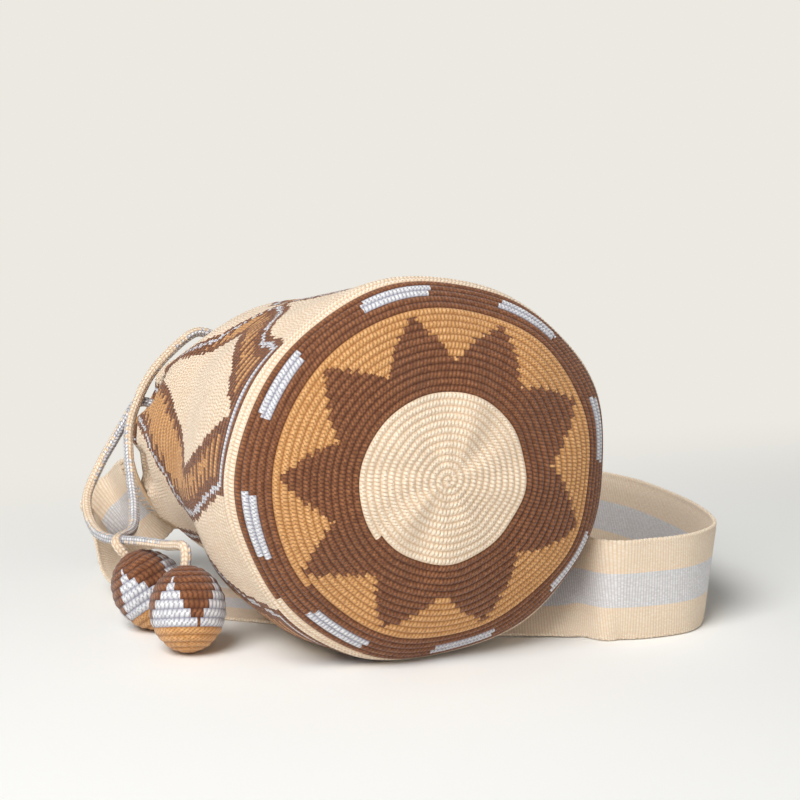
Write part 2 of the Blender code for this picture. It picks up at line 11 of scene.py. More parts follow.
import bmesh
import bpy
import numpy as np
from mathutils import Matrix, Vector


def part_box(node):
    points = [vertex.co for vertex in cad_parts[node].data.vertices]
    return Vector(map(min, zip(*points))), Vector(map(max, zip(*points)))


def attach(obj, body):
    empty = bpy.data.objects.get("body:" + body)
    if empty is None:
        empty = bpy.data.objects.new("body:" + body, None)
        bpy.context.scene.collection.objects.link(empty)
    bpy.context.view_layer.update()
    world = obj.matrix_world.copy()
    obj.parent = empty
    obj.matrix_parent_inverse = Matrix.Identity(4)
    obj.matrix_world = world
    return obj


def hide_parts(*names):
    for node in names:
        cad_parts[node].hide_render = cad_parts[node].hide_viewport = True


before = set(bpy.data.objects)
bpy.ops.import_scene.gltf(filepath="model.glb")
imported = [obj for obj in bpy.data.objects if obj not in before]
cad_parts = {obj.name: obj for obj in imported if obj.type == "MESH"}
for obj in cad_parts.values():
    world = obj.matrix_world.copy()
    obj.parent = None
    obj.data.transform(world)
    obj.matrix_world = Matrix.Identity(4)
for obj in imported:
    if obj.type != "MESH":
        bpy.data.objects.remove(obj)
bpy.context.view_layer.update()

print("solids", sorted(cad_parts))

# %% [markdown]
# ## The bag's own place
# Shapes are easiest to write about the middle of the girth, the widest ring behind the domed base, with the
# base towards -Y and the mouth towards +Y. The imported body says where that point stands: its lowest Y is the
# middle of the dome, and its highest X is the side of the girth.

# %% Sizes of the shell
GIRTH_RADIUS = 0.1075
DOME_RISE = 0.040
SHELL_WALL = 0.0035
SHOULDER_AT, SHOULDER_RADIUS = 0.186, 0.0705
NECK_AT, NECK_RADIUS = 0.206, 0.0580
RIM_AT, RIM_RADIUS = 0.226, 0.0635
GIRTH_HEIGHT = GIRTH_RADIUS - 0.003
SLUMP_WIDTH = 1.045
MOUTH_SHIFT, MOUTH_HEIGHT = -0.0435, 0.0865

body_low, body_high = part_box("bag_body")
side = GIRTH_RADIUS * SLUMP_WIDTH * math.cos(math.pi / 54)
HOME = np.array((body_high.x - side, body_low.y + DOME_RISE, 0.0))
print("middle of the girth", HOME.round(5))

# %% [markdown]
# ## Putting things in the scene
# Whatever is made ends up as an object in the scene: the camera, the pieces, the floor and the lamps.

# %% One object
def add_object(name, data):
    thing = bpy.data.objects.new(name, data)
    bpy.context.scene.collection.objects.link(thing)
    return thing


# %% [markdown]
# ## Camera
# The photograph looks at the base from a little to its left and above. The camera stands 1 m away, and a
# small shift puts the bag as low in the picture as it is there.

# %% Camera
CAMERA_TURN, CAMERA_RISE, CAMERA_AWAY = math.radians(-22), math.radians(11.5), 1.0
METRES_PER_PIXEL, PICTURE = 0.00055, 800
AIM_PIXEL, AIM_HEIGHT = (421, 473), 0.104

aim = Vector(HOME) + Vector((0, 0, AIM_HEIGHT))
backwards = Vector((
    math.sin(CAMERA_TURN) * math.cos(CAMERA_RISE),
    -math.cos(CAMERA_TURN) * math.cos(CAMERA_RISE),
    math.sin(CAMERA_RISE),
))
camera = add_object("camera", bpy.data.cameras.new("camera"))
camera.location = aim + backwards * CAMERA_AWAY
camera.rotation_euler = (-backwards).to_track_quat("-Z", "Y").to_euler()
camera.data.lens = camera.data.sensor_width * CAMERA_AWAY / (PICTURE * METRES_PER_PIXEL)
camera.data.shift_x = (PICTURE / 2 - AIM_PIXEL[0]) / PICTURE
camera.data.shift_y = (AIM_PIXEL[1] - PICTURE / 2) / PICTURE
bpy.context.scene.camera = camera
print("lens", round(camera.data.lens, 1))

# %% [markdown]
# ## Helpers for soft shapes
# A knitted or woven thing has no straight lines. A few small helpers are used by every piece: a soft step
# from 0 to 1, a smooth curve through a few chosen points, the length along such a curve, and vectors of
# length one.

# %% Soft step and smooth curves
def soft_step(value):
    value = np.clip(value, 0.0, 1.0)
    return value * value * (3 - 2 * value)


def curve_through(points, shares):
    """Points at shares of the way along a smooth curve through the points."""
    points = np.asarray(points, float)
    place = np.clip(shares, 0, 1) * (len(points) - 1)
    index = np.minimum(place.astype(int), len(points) - 2)
    part = (place - index)[:, None]
    before, start = points[np.maximum(index - 1, 0)], points[index]
    end, after = points[index + 1], points[np.minimum(index + 2, len(points) - 1)]
    bend = (2 * before - 5 * start + 4 * end - after) * part**2
    twist = (3 * start - before - 3 * end + after) * part**3
    return start + ((end - before) * part + bend + twist) * 0.5


def lengths_along(places):
    steps = np.linalg.norm(np.diff(places, axis=0), axis=1)
    return np.concatenate(([0.0], np.cumsum(steps)))


def unit(vectors):
    return vectors / np.maximum(np.linalg.norm(vectors, axis=-1, keepdims=True), 1e-12)


# %% [markdown]
# ## The bag's line
# Behind the girth the bag grows narrower, and its middle slumps down and to the left, because nothing fills
# its mouth. A few rings say how far, and one smooth curve through them gives every ring between.

# %% Rings behind the girth
middle_at = SHOULDER_AT * 0.62
bag_rings = [
    # distance, radius, share of the mouth's shift, share of its drop
    (0.0, GIRTH_RADIUS, 0.0, 0.0),
    (middle_at * 0.5, GIRTH_RADIUS * 0.971, 0.15, 0.39),
    (middle_at, GIRTH_RADIUS * 0.858, 0.32, 0.31),
    (SHOULDER_AT * 0.85, GIRTH_RADIUS * 0.776, 0.66, 0.38),
    (SHOULDER_AT, SHOULDER_RADIUS, 0.95, 0.67),
    (NECK_AT, NECK_RADIUS, 1.0, 0.85),
    (RIM_AT, RIM_RADIUS, 1.0, 1.0),
]
LINE_STEPS = 900
bag_line = curve_through(bag_rings, np.linspace(0, 1, LINE_STEPS))
print("bag line", len(bag_line), "rings, narrowest", round(bag_line[:, 1].min(), 4))


def centre_at(distance):
    """(x, z) of the bag's middle behind the girth."""
    shift = np.interp(distance, bag_line[:, 0], bag_line[:, 2])
    drop = np.interp(distance, bag_line[:, 0], bag_line[:, 3])
    return MOUTH_SHIFT * shift, GIRTH_HEIGHT + (MOUTH_HEIGHT - GIRTH_HEIGHT) * drop


# %% [markdown]
# ## Drawcord: its line
# The cord is one braided length with a ball on each end. It leaves the front ball, climbs the left side of
# the bag in a loose bow, goes in and out of the eyelets round the neck, and comes down beside itself to the
# other ball. A smooth curve through a few chosen points gives that line. It keeps close to the solid's line
# and ends where that one ends.

# %% Drawcord and ball sizes
CORD_DIAMETER = 0.006
BALL_RADIUS, BALL_STRETCH = 0.0215, 1.15
PLEATS, PLEAT_DEPTH, RIM_PLEAT_DEPTH, PLEAT_REACH = 9, 0.0070, 0.0022, 0.052
FRONT_BALL = {"spot": (-0.119, 0.056), "axis": (0.05, 0.30, 0.95)}
BACK_BALL = {"spot": (-0.128, 0.108), "axis": (-0.46, 0.40, 0.79)}
CORD_TUCK, CORD_RISE = 0.0020, 0.010


def ball_middle(ball):
    """The middle of a ball that rests on the floor with its neck along its axis."""
    axis = unit(np.array(ball["axis"]))
    height = BALL_RADIUS * math.sqrt(1 - axis[2] ** 2 + (BALL_STRETCH * axis[2]) ** 2)
    return np.array((*ball["spot"], height)), axis


def ball_neck(ball, beyond=0.0):
    middle, axis = ball_middle(ball)
    return middle + axis * (BALL_RADIUS * BALL_STRETCH + beyond)


def neck_ring(degrees, out=0.0):
    """A point on the circle of the eyelets, or outside it."""
    x, z = centre_at(NECK_AT)
    reach = NECK_RADIUS - SHELL_WALL / 4 + out
    turn = math.radians(degrees)
    return (x + math.cos(turn) * reach, NECK_AT, z + math.sin(turn) * reach)


# %% The drawcord's route
cord_route = [
    ball_neck(FRONT_BALL, -CORD_TUCK),
    ball_neck(FRONT_BALL, CORD_RISE),
    (-0.1225, 0.088, 0.0545),
    (-0.1325, 0.110, 0.0525),
    (-0.1455, 0.139, 0.0492),
    (-0.1490, 0.166, 0.0520),
    (-0.1467, 0.189, 0.0640),
    (-0.1355, 0.2005, 0.0815),
    (-0.1255, 0.2075, 0.0940),
    (-0.1165, 0.2122, 0.1055),
    (-0.1078, 0.2122, 0.1175),
    neck_ring(154, 0.004),
    *[neck_ring(degrees) for degrees in range(164, 453, 16)],
    neck_ring(462, 0.003),
    (-0.0569, 0.2065, 0.1570),
    (-0.0654, 0.207, 0.1610),
    (-0.0735, 0.207, 0.1598),
    (-0.0872, 0.207, 0.1494),
    (-0.0998, 0.2065, 0.1362),
    (-0.1092, 0.205, 0.1205),
    (-0.1160, 0.201, 0.1045),
    (-0.1185, 0.194, 0.0910),
    (-0.1200, 0.184, 0.0765),
    (-0.1225, 0.1665, 0.0600),
    (-0.1285, 0.1475, 0.0510),
    ball_neck(BACK_BALL, CORD_RISE),
    ball_neck(BACK_BALL, -CORD_TUCK),
]
CORD_STEPS = 4000
cord_fine = curve_through(cord_route, np.linspace(0, 1, CORD_STEPS))
cord_length = lengths_along(cord_fine)[-1]
print("drawcord", round(cord_length, 4), "m")

# %% [markdown]
# ## Rolling a flat grid into a piece
# Crochet, braid and webbing all start as a flat grid of stitches. So does each piece here: an operator makes
# a flat grid, and its points are then moved to where the yarn runs. The grid's own two directions stay known
# for every corner, so the stitch pattern is laid on a UV map at the same time.

# %% A grid and its two directions
def finished_mesh(name, work):
    mesh = bpy.data.meshes.new(name)
    work.to_mesh(mesh)
    work.free()
    return mesh


def flat_grid(name, along, around):
    """A flat grid as a mesh, with each point's share of the way along and around the later piece."""
    grid = bmesh.new()
    bmesh.ops.create_grid(grid, x_segments=along, y_segments=around, size=0.5)
    mesh = finished_mesh(name, grid)
    flat = np.zeros(len(mesh.vertices) * 3)
    mesh.vertices.foreach_get("co", flat)
    shares = flat.reshape(-1, 3)[:, :2] + 0.5
    return mesh, shares[:, 0], shares[:, 1]


def corner_values(mesh, *values):
    """Each point's values at every face's four corners, one row for each face."""
    corners = np.zeros(len(mesh.loops), np.int64)
    mesh.loops.foreach_get("vertex_index", corners)
    return [value[corners].reshape(-1, 4) for value in values]


def lay_uv(mesh, u, v):
    layer = mesh.uv_layers.new(name="stitches")
    layer.data.foreach_set("uv", np.column_stack((u.ravel(), v.ravel())).ravel())


def colour_faces(mesh, materials, numbers):
    """Gives the mesh its materials, and each face the number of its own."""
    for material in materials:
        mesh.materials.append(material)
    mesh.polygons.foreach_set("material_index", numbers.astype(np.int32))


def place_points(mesh, places):
    mesh.vertices.foreach_set("co", (places + HOME).ravel())
    mesh.update()


# %% From a rolled grid to a piece
SEAM_REACH = 2e-6


def close_mesh(mesh, ends="none"):
    """Merges the points that meet where the grid is rolled up, can fill the ends, turns the faces outwards."""
    work = bmesh.new()
    work.from_mesh(mesh)
    bmesh.ops.remove_doubles(work, verts=work.verts, dist=SEAM_REACH)
    if ends == "fill":
        bmesh.ops.holes_fill(work, edges=[edge for edge in work.edges if edge.is_boundary], sides=0)
    bmesh.ops.recalc_face_normals(work, faces=work.faces)
    work.to_mesh(mesh)
    work.free()


def show(name, mesh, materials):
    """The piece as an object in the scene, smooth, riding on the bag."""
    piece = add_object(name, mesh)
    for material in materials:
        if material.name not in mesh.materials:
            mesh.materials.append(material)
    mesh.shade_smooth()
    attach(piece, "root")
    open_edges = len(mesh.edges) * 2 - len(mesh.loops)
    print(name, len(mesh.loops) - 2 * len(mesh.polygons), "triangles,", open_edges, "open edges")
    return piece


# %% [markdown]
# ## Yarn materials
# Every yarn is seen as short slanted strokes, one for each stitch, lying along its round like the turns of a
# rope. One node group draws them from the stitch map: a ridge for each stroke, painted shade in the gap between
# two strokes, a different tint for each stitch and the fine plies of the yarn. Each yarn then only needs its own
# colours, its painted shade colour for the gaps and its own gloss.

# %% Node helpers
def add_node(tree, kind, **settings):
    node = tree.nodes.new(kind)
    for name, value in settings.items():
        setattr(node, name, value)
    return node


def wire(tree, socket, value):
    """Links an output to the socket, or sets the socket to a plain value."""
    if isinstance(value, bpy.types.NodeSocket):
        tree.links.new(value, socket)
    else:
        socket.default_value = value


def maths(tree, operation, *values, clamp=False):
    node = add_node(tree, "ShaderNodeMath", operation=operation, use_clamp=clamp)
    for socket, value in zip(node.inputs, values):
        wire(tree, socket, value)
    return node.outputs[0]


def object_noise(tree, scale, **settings):
    """Fine noise that stays with the piece, as values round one half."""
    spot = add_node(tree, "ShaderNodeTexCoord")
    noise = add_node(tree, "ShaderNodeTexNoise")
    tree.links.new(spot.outputs["Object"], noise.inputs["Vector"])
    noise.inputs["Scale"].default_value = scale
    for label, value in settings.items():
        noise.inputs[label.capitalize()].default_value = value
    return noise.outputs["Fac"]


def new_material(name, roughness):
    """A material, its tree and its shader."""
    material = bpy.data.materials.new(name)
    material.use_nodes = True
    shader = material.node_tree.nodes["Principled BSDF"]
    shader.inputs["Roughness"].default_value = roughness
    return material, material.node_tree, shader


def new_group(name, inputs, outputs):
    """A node group of plain numbers: the inputs with their usual values, and the names of the outputs."""
    group = bpy.data.node_groups.new(name, "ShaderNodeTree")
    for label, value in inputs.items():
        socket = group.interface.new_socket(label, in_out="INPUT", socket_type="NodeSocketFloat")
        socket.default_value = value
    for label in outputs:
        group.interface.new_socket(label, in_out="OUTPUT", socket_type="NodeSocketFloat")
    return group, group.nodes.new("NodeGroupInput").outputs, group.nodes.new("NodeGroupOutput").inputs


# %% The stitch group
STROKE_FULLNESS, PLY_HEIGHT, FIBRE_SCALE = 0.6, 0.06, 2600


def stitch_group():
    group, given, put_out = new_group(
        "stitch strokes",
        {"Slant": 0.5, "Plies": 3.0, "Fuzz": 0.3},
        ("Ridge", "Tint", "Height"),
    )
    stitches = add_node(group, "ShaderNodeUVMap", uv_map="stitches")
    parts = add_node(group, "ShaderNodeSeparateXYZ")
    group.links.new(stitches.outputs["UV"], parts.inputs[0])
    u, v = parts.outputs["X"], parts.outputs["Y"]
    round_number = maths(group, "FLOOR", v)
    across = maths(group, "SUBTRACT", v, round_number)
    jitter = add_node(group, "ShaderNodeTexWhiteNoise", noise_dimensions="1D")
    group.links.new(round_number, jitter.inputs["W"])
    slanted = maths(group, "MULTIPLY_ADD", across, given["Slant"], u)
    shifted = maths(group, "ADD", slanted, jitter.outputs["Value"])
    stitch_number = maths(group, "FLOOR", shifted)
    along = maths(group, "SUBTRACT", shifted, stitch_number)
    stroke = maths(group, "SINE", maths(group, "MULTIPLY", along, math.pi))
    hump = maths(group, "SINE", maths(group, "MULTIPLY", across, math.pi))
    soft = maths(group, "POWER", maths(group, "MULTIPLY", stroke, hump), STROKE_FULLNESS)
    cell = add_node(group, "ShaderNodeCombineXYZ")
    group.links.new(stitch_number, cell.inputs["X"])
    group.links.new(round_number, cell.inputs["Y"])
    tint = add_node(group, "ShaderNodeTexWhiteNoise", noise_dimensions="3D")
    group.links.new(cell.outputs[0], tint.inputs["Vector"])
    ply_turn = maths(group, "MULTIPLY", maths(group, "MULTIPLY", along, given["Plies"]), 2 * math.pi)
    plies = maths(group, "SINE", ply_turn)
    fibre = object_noise(group, FIBRE_SCALE, detail=3)
    loose = maths(group, "MULTIPLY", maths(group, "SUBTRACT", fibre, 0.5), given["Fuzz"])
    # Ridge is 1 on a stroke and 0 between strokes and rounds; the yarns use it only as the mask for the painted
    # shade in the gaps.
    ridge = maths(group, "ADD", soft, loose, clamp=True)
    height = maths(group, "ADD", maths(group, "MULTIPLY_ADD", plies, PLY_HEIGHT, soft), loose)
    for label, value in (("Ridge", ridge), ("Tint", tint.outputs["Value"]), ("Height", height)):
        group.links.new(value, put_out[label])
    return group


STITCHES = stitch_group()
print("stitch group with", len(STITCHES.nodes), "nodes")


# %% Yarns
def srgb(red, green, blue):
    """A colour as it is read off a picture, 0 to 255, turned to the linear values of the shader."""
    shares = [value / 255 for value in (red, green, blue)]
    linear = [share / 12.92 if share <= 0.04045 else ((share + 0.055) / 1.055) ** 2.4 for share in shares]
    return (*linear, 1.0)


def mixed(tree, factor, first, second, blend="MIX"):
    node = add_node(tree, "ShaderNodeMix", data_type="RGBA", blend_type=blend)
    wire(tree, node.inputs["Factor"], factor)
    wire(tree, node.inputs["A"], first)
    wire(tree, node.inputs["B"], second)
    return node.outputs["Result"]


def yarn(name, shaded_gap, low, high, relief=0.0006, roughness=0.85, metallic=0.0, **given):
    """A yarn: the painted shade colour of its gaps, and the two colours between which its stitches vary."""
    material, tree, shader = new_material(name, roughness)
    shader.inputs["Metallic"].default_value = metallic
    shader.inputs["Sheen Weight"].default_value = 0.25
    shader.inputs["Specular IOR Level"].default_value = 0.3
    strokes = add_node(tree, "ShaderNodeGroup", node_tree=STITCHES)
    for label, value in given.items():
        strokes.inputs[label.capitalize()].default_value = value
    tinted = mixed(tree, strokes.outputs["Tint"], srgb(*low), srgb(*high))
    # Painted shade: where Ridge falls to 0 between strokes, the colour turns to the darker gap colour, as if the
    # groove were in shade.
    coloured = mixed(tree, strokes.outputs["Ridge"], srgb(*shaded_gap), tinted)
    tree.links.new(coloured, shader.inputs["Base Color"])
    bump = add_node(tree, "ShaderNodeBump")
    bump.inputs["Distance"].default_value = relief
    bump.inputs["Strength"].default_value = 1.0
    tree.links.new(strokes.outputs["Height"], bump.inputs["Height"])
    tree.links.new(bump.outputs["Normal"], shader.inputs["Normal"])
    return material


# The first colour of each yarn is painted shade for the gaps between its strokes; on the silver yarn the high
# fuzz scatters it as dark speckles.
cream_yarn = yarn("cream_crochet", (222, 187, 148), (244, 224, 200), (255, 241, 222))
brown_yarn = yarn("brown_crochet", (72, 32, 10), (126, 76, 44), (162, 106, 68))
ochre_yarn = yarn("ochre_crochet", (158, 100, 46), (214, 158, 98), (238, 185, 125))
silver_yarn = yarn("silver_crochet", (134, 133, 152), (234, 232, 235), (255, 255, 255),
                   roughness=0.4, metallic=0.1, fuzz=0.8)
body_yarns = [cream_yarn, brown_yarn, ochre_yarn, silver_yarn]
CREAM, BROWN, OCHRE, SILVER = range(4)
print("yarns", [material.name for material in body_yarns])

# %% [markdown]
# ## The bag's outline
# Seen from the side the bag is a shallow dome, a long wall, a gathered neck and a small flared rim. Its
# outline is one smooth line, and a place along that line is a length of crochet from the middle of the base.
# That is how the maker counts too: so many rounds from the middle.

# %% Outline from the middle of the base to the rim
turns = np.linspace(0, math.pi / 2, 400)
dome_line = np.column_stack((-np.cos(turns) * DOME_RISE, np.sin(turns) * GIRTH_RADIUS))
outline = np.vstack((dome_line, bag_line[1:, :2]))
outline_lengths = lengths_along(outline)
dome_length, outline_length = lengths_along(dome_line)[-1], outline_lengths[-1]
tangents = unit(np.gradient(outline, outline_lengths, axis=0))
outwards = np.column_stack((-tangents[:, 1], tangents[:, 0]))

YARN_HEIGHT = 0.0038
ROUNDS = round(outline_length / YARN_HEIGHT)
ROUND_PITCH = outline_length / ROUNDS
ROWS_PER_ROUND, STITCH_WIDTH, BAG_STITCHES = 3, 0.0021, 288
print("rounds", ROUNDS, "of", round(ROUND_PITCH * 1000, 2), "mm")
print("base", round(dome_length / ROUND_PITCH, 1), "rounds")


def on_outline(length, column, table):
    return np.interp(length, outline_lengths, table[:, column])


# %% Leaning rounds
LEAN_FROM, LEAN_FULL = 12, 24
LEAN_ALL_ROUND, LEAN_ONE_SIDE, LEAN_TOWARDS = 0.25, 0.7, math.radians(20)


def leaning(length, angle):
    """The base is a little off centre: its outer rounds lie up and to the right. The wall evens this out."""
    share = soft_step((length / ROUND_PITCH - LEAN_FROM) / (LEAN_FULL - LEAN_FROM))
    share = share * soft_step((outline_length - length) / (outline_length - dome_length))
    return length + ROUND_PITCH * share * (LEAN_ALL_ROUND + LEAN_ONE_SIDE * np.cos(angle - LEAN_TOWARDS))


# %% [markdown]
# ## The strap's line
# The strap is one flat band. From the left of the mouth it drops to the floor, passes under the bag, comes
# out at the right, stands on its edge in a wide loop and goes back to the right of the mouth. The body rests
# on it, so the strap's line is needed before the body is shaped.

# %% Strap route
STRAP_WIDTH, STRAP_THICKNESS, STRAP_ANGLE, SEWN_LENGTH = 0.060, 0.0026, math.radians(30), 0.011
FABRIC_GAP, SEAM_GAP, FLANK_GAP, TREAD_MARGIN, TREAD_STEP = 0.0003, 0.0020, 0.0045, 0.030, 0.012
# Where the strap comes out under the right flank: across the bag and behind the girth, as shares.
FLANK_PLACES = ((0.55, 0.060), (0.70, 0.020), (0.83, -0.015), (0.93, -0.040), (1.02, -0.065))


def pleat_depth(distance):
    """The depth of the gathers: none on the wall, deepest at the neck and shallow at the rim."""
    to_rim = soft_step((distance - NECK_AT) / (RIM_AT - NECK_AT))
    beyond = PLEAT_DEPTH + (RIM_PLEAT_DEPTH - PLEAT_DEPTH) * to_rim
    before = PLEAT_DEPTH * soft_step(1 - (NECK_AT - distance) / PLEAT_REACH) ** 1.5
    return np.where(distance > NECK_AT, beyond, before)


def rim_place(angle, before=0.0):
    """Where the strap is sewn: just outside the pleats, at the rim or some way before it."""
    distance = RIM_AT - before
    out = np.interp(distance, bag_line[:, 0], bag_line[:, 1]) + pleat_depth(distance)
    out = out + SEAM_GAP + STRAP_THICKNESS / 2
    x, z = centre_at(distance)
    return np.array((x + math.cos(angle) * out, distance, z + math.sin(angle) * out))


def rim_tangent(angle):
    tangent = np.array((-math.sin(angle), 0.0, math.cos(angle)))
    return tangent if tangent[2] > 0 else -tangent


def flank_stretch():
    """The strap coming out from under the right flank: flat below the bag, upright once there is room."""
    stretch = []
    for across, behind in FLANK_PLACES:
        x = across * GIRTH_RADIUS
        inside = max((GIRTH_RADIUS * SLUMP_WIDTH) ** 2 - x**2, 0.0)
        room = GIRTH_HEIGHT - math.sqrt(inside) - FLANK_GAP
        rise = min(max(room, STRAP_THICKNESS), STRAP_WIDTH) / STRAP_WIDTH
        level = math.sqrt(1 - rise**2)
        middle = (x, behind * RIM_AT + level * STRAP_WIDTH / 2, rise * STRAP_WIDTH / 2)
        stretch.append((middle, (0, -level, -rise)))
    return stretch


def on_floor(across, along, height):
    return (across * GIRTH_RADIUS, along * RIM_AT, height)


left_end, right_end = rim_place(math.pi + STRAP_ANGLE), rim_place(STRAP_ANGLE)
left_across, right_across = rim_tangent(math.pi + STRAP_ANGLE), -rim_tangent(STRAP_ANGLE)
upright = STRAP_WIDTH / 2
strap_route = [
    (rim_place(math.pi + STRAP_ANGLE, SEWN_LENGTH), left_across),
    (left_end + np.array((-0.07, 0.28, -0.14)) * SEWN_LENGTH, left_across),
    (on_floor(-1.04, 1.09, 0.037), (0.02, 0.02, 1.0)),
    (on_floor(-1.13, 1.09, 0.0285), (-0.30, 0.20, 0.93)),
    (on_floor(-1.12, 1.00, 0.0215), (-0.66, 0.17, 0.73)),
    (on_floor(-1.06, 0.91, 0.0155), (-0.90, 0.12, 0.43)),
    (on_floor(-0.99, 0.80, 0.0085), (-0.97, 0.02, 0.21)),
    (on_floor(-0.80, 0.67, 0.0030), (-0.93, -0.35, 0.05)),
    (on_floor(-0.51, 0.54, 0.0014), (-0.80, -0.60, 0.0)),
    (on_floor(-0.15, 0.41, 0.0014), (-0.62, -0.78, 0.0)),
    (on_floor(0.22, 0.28, 0.0014), (-0.40, -0.91, 0.0)),
    *flank_stretch(),
    (on_floor(1.24, -0.090, upright), (0, 0, -1)),
    (on_floor(1.52, -0.075, upright), (0, 0, -1)),
    (on_floor(1.74, 0.02, upright), (-0.09, 0.05, -0.99)),
    (on_floor(1.86, 0.20, upright), (-0.15, 0.02, -0.99)),
    (on_floor(1.90, 0.41, upright), (-0.16, 0.0, -0.99)),
    (on_floor(1.88, 0.62, upright), (-0.10, 0.0, -1.0)),
    (on_floor(1.73, 0.83, upright * 1.22), (0.02, 0.02, -0.99)),
    (on_floor(1.40, 0.99, upright * 1.80), (0.14, 0.06, -0.98)),
    (on_floor(0.99, 1.08, upright * 2.35), (0.26, 0.08, -0.96)),
    (on_floor(0.64, 1.12, upright * 2.90), (0.40, 0.34, -0.86)),
    (right_end + np.array((0.80, 2.20, -0.10)) * SEWN_LENGTH, (0.50, 0.10, -0.86)),
    (right_end + np.array((0.10, 0.60, 0.05)) * SEWN_LENGTH, right_across),
    (rim_place(STRAP_ANGLE, SEWN_LENGTH), right_across),
]
strap_middles = np.array([middle for middle, _ in strap_route], float)
strap_sides = np.array([side for _, side in strap_route], float)
STRAP_STEPS = 6000
fine_shares = np.linspace(0, 1, STRAP_STEPS)
strap_fine = curve_through(strap_middles, fine_shares)
strap_fine_lengths = lengths_along(strap_fine)
strap_length = strap_fine_lengths[-1]
print("strap", round(strap_length, 3), "m")

# %% [markdown]
# ## The shell's shape
# A place on the shell is a length along the outline and an angle round it. From those two come its middle,
# its radius, the gathers at the neck and, last, the floor and the strap under it, which press the fabric
# flat. All pieces of the shell use this one function, so the skins and the rim's edge always meet.

# %% Where a stitch of the shell lies
TOP_OF_DOME_LIFT = 0.003
trodden_at = np.linspace(0, strap_length, round(strap_length / TREAD_STEP))
trodden = curve_through(strap_middles, np.interp(trodden_at, strap_fine_lengths, fine_shares))
trodden = trodden[trodden[:, 2] < STRAP_WIDTH / 3]


def support_height(x, y):
    """How high the floor, or the strap lying on it, holds up the underside of the bag."""
    nearest = np.full(x.shape, 1.0)
    for place in trodden:
        nearest = np.minimum(nearest, np.hypot(x - place[0], y - place[1]))
    over = soft_step((STRAP_WIDTH / 2 + TREAD_MARGIN - nearest) / (TREAD_MARGIN / 2))
    return (STRAP_THICKNESS + FABRIC_GAP) * over


def rest_on(height, floor, give=0.0022):
    lift = (height - floor) / give
    return floor + give * np.where(lift > 30, lift, np.log1p(np.exp(np.minimum(lift, 30))))


def slump(distance):
    """How much wider than tall the shell lies: most at the girth, not at all at the neck or on the base."""
    behind = SLUMP_WIDTH + (1 - SLUMP_WIDTH) * soft_step(distance / NECK_AT)
    before = 1 + (SLUMP_WIDTH - 1) * soft_step((distance + DOME_RISE) / DOME_RISE)
    return np.where(distance < 0, before, behind)


def on_shell(length, angle, lift, inset=0.0):
    """The place of a stitch, lifted off the outline by the relief of its round."""
    distance = on_outline(length, 0, outline) + on_outline(length, 0, outwards) * lift
    radius = on_outline(length, 1, outline) + on_outline(length, 1, outwards) * lift - inset
    along = on_outline(length, 0, outline)
    x, z = centre_at(along)
    wave = np.clip(2 * np.sin(PLEATS * angle), -1, 1)
    reach = radius + wave * pleat_depth(along)
    x = x + np.cos(angle) * reach * slump(along)
    z = z + np.sin(angle) * reach + TOP_OF_DOME_LIFT * (1 - soft_step(length / dome_length))
    return np.column_stack((x, distance, rest_on(z, support_height(x, distance) + inset)))


# %% [markdown]
# ## The pattern, counted in rounds and stitches
# The yarns change from stitch to stitch, as in tapestry crochet. The base has a plain disc, a star with nine
# stepped points on ochre, and a brown band with eight silver dashes. The wall has four large figures with
# silver edges, flame-like inner borders and a plain diamond in the middle. Each rule below answers for one
# stitch: how many rounds from the middle it is, and at what angle. The angle is measured from the spiral's
# start, where every colour steps by one round.

# %% Pattern of the base
SPIRAL_START = math.radians(216)
DISC_ROUNDS, STAR_ROOT_ROUNDS, STAR_TIP_ROUNDS, OCHRE_ROUNDS = 12.5, 16.6, 23.4, 24.6
DASH_ROUNDS, BAND_ROUNDS, LINE_ROUNDS = (26.6, 28.6), 29.7, 31.5
STAR_TIPS = np.radians((-149, -112, -71.5, -22, 25, 65, 99.5, 134.5, 175))
STAR_LEAN = math.radians(2.0)
DASH_START, DASHES, DASH_HALF, DASH_LEAN = math.radians(101), 8, math.radians(10.6), math.radians(1.1)


def turn_between(angle, other):
    return (angle - other + math.pi) % (2 * math.pi) - math.pi


def base_yarn(rounds, angle):
    """Which yarn a stitch of the base is, for arrays of rounds from the middle and of angles."""
    yarns = np.full(rounds.shape, CREAM)
    yarns[rounds >= DISC_ROUNDS] = BROWN
    climb = (rounds - STAR_ROOT_ROUNDS) / (STAR_TIP_ROUNDS - STAR_ROOT_ROUNDS)
    in_point = np.zeros(rounds.shape, bool)
    for number, tip in enumerate(STAR_TIPS):
        after = turn_between(STAR_TIPS[(number + 1) % len(STAR_TIPS)], tip) / 2
        before = turn_between(tip, STAR_TIPS[number - 1]) / 2
        off = turn_between(angle, tip + STAR_LEAN * (1 - climb))
        half = np.where(off > 0, after, before) * (1.02 - climb)
        in_point |= np.abs(off) < half
    yarns[(rounds >= STAR_ROOT_ROUNDS) & ~in_point] = OCHRE
    yarns[rounds >= OCHRE_ROUNDS] = BROWN
    swing = turn_between(angle, DASH_START)
    swing = (swing + math.pi / DASHES) % (2 * math.pi / DASHES) - math.pi / DASHES
    lean = (rounds - sum(DASH_ROUNDS) / 2) * DASH_LEAN
    dashed = (rounds >= DASH_ROUNDS[0]) & (rounds < DASH_ROUNDS[1]) & (np.abs(swing + lean) < DASH_HALF)
    yarns[dashed] = SILVER
    yarns[rounds >= BAND_ROUNDS] = CREAM
    return yarns


# %% Pattern of the wall
FIGURES, FIGURE_TURN = 4, 158
NEXT_EARLY, NEXT_FROM, NEXT_TO = 4, 46, 130
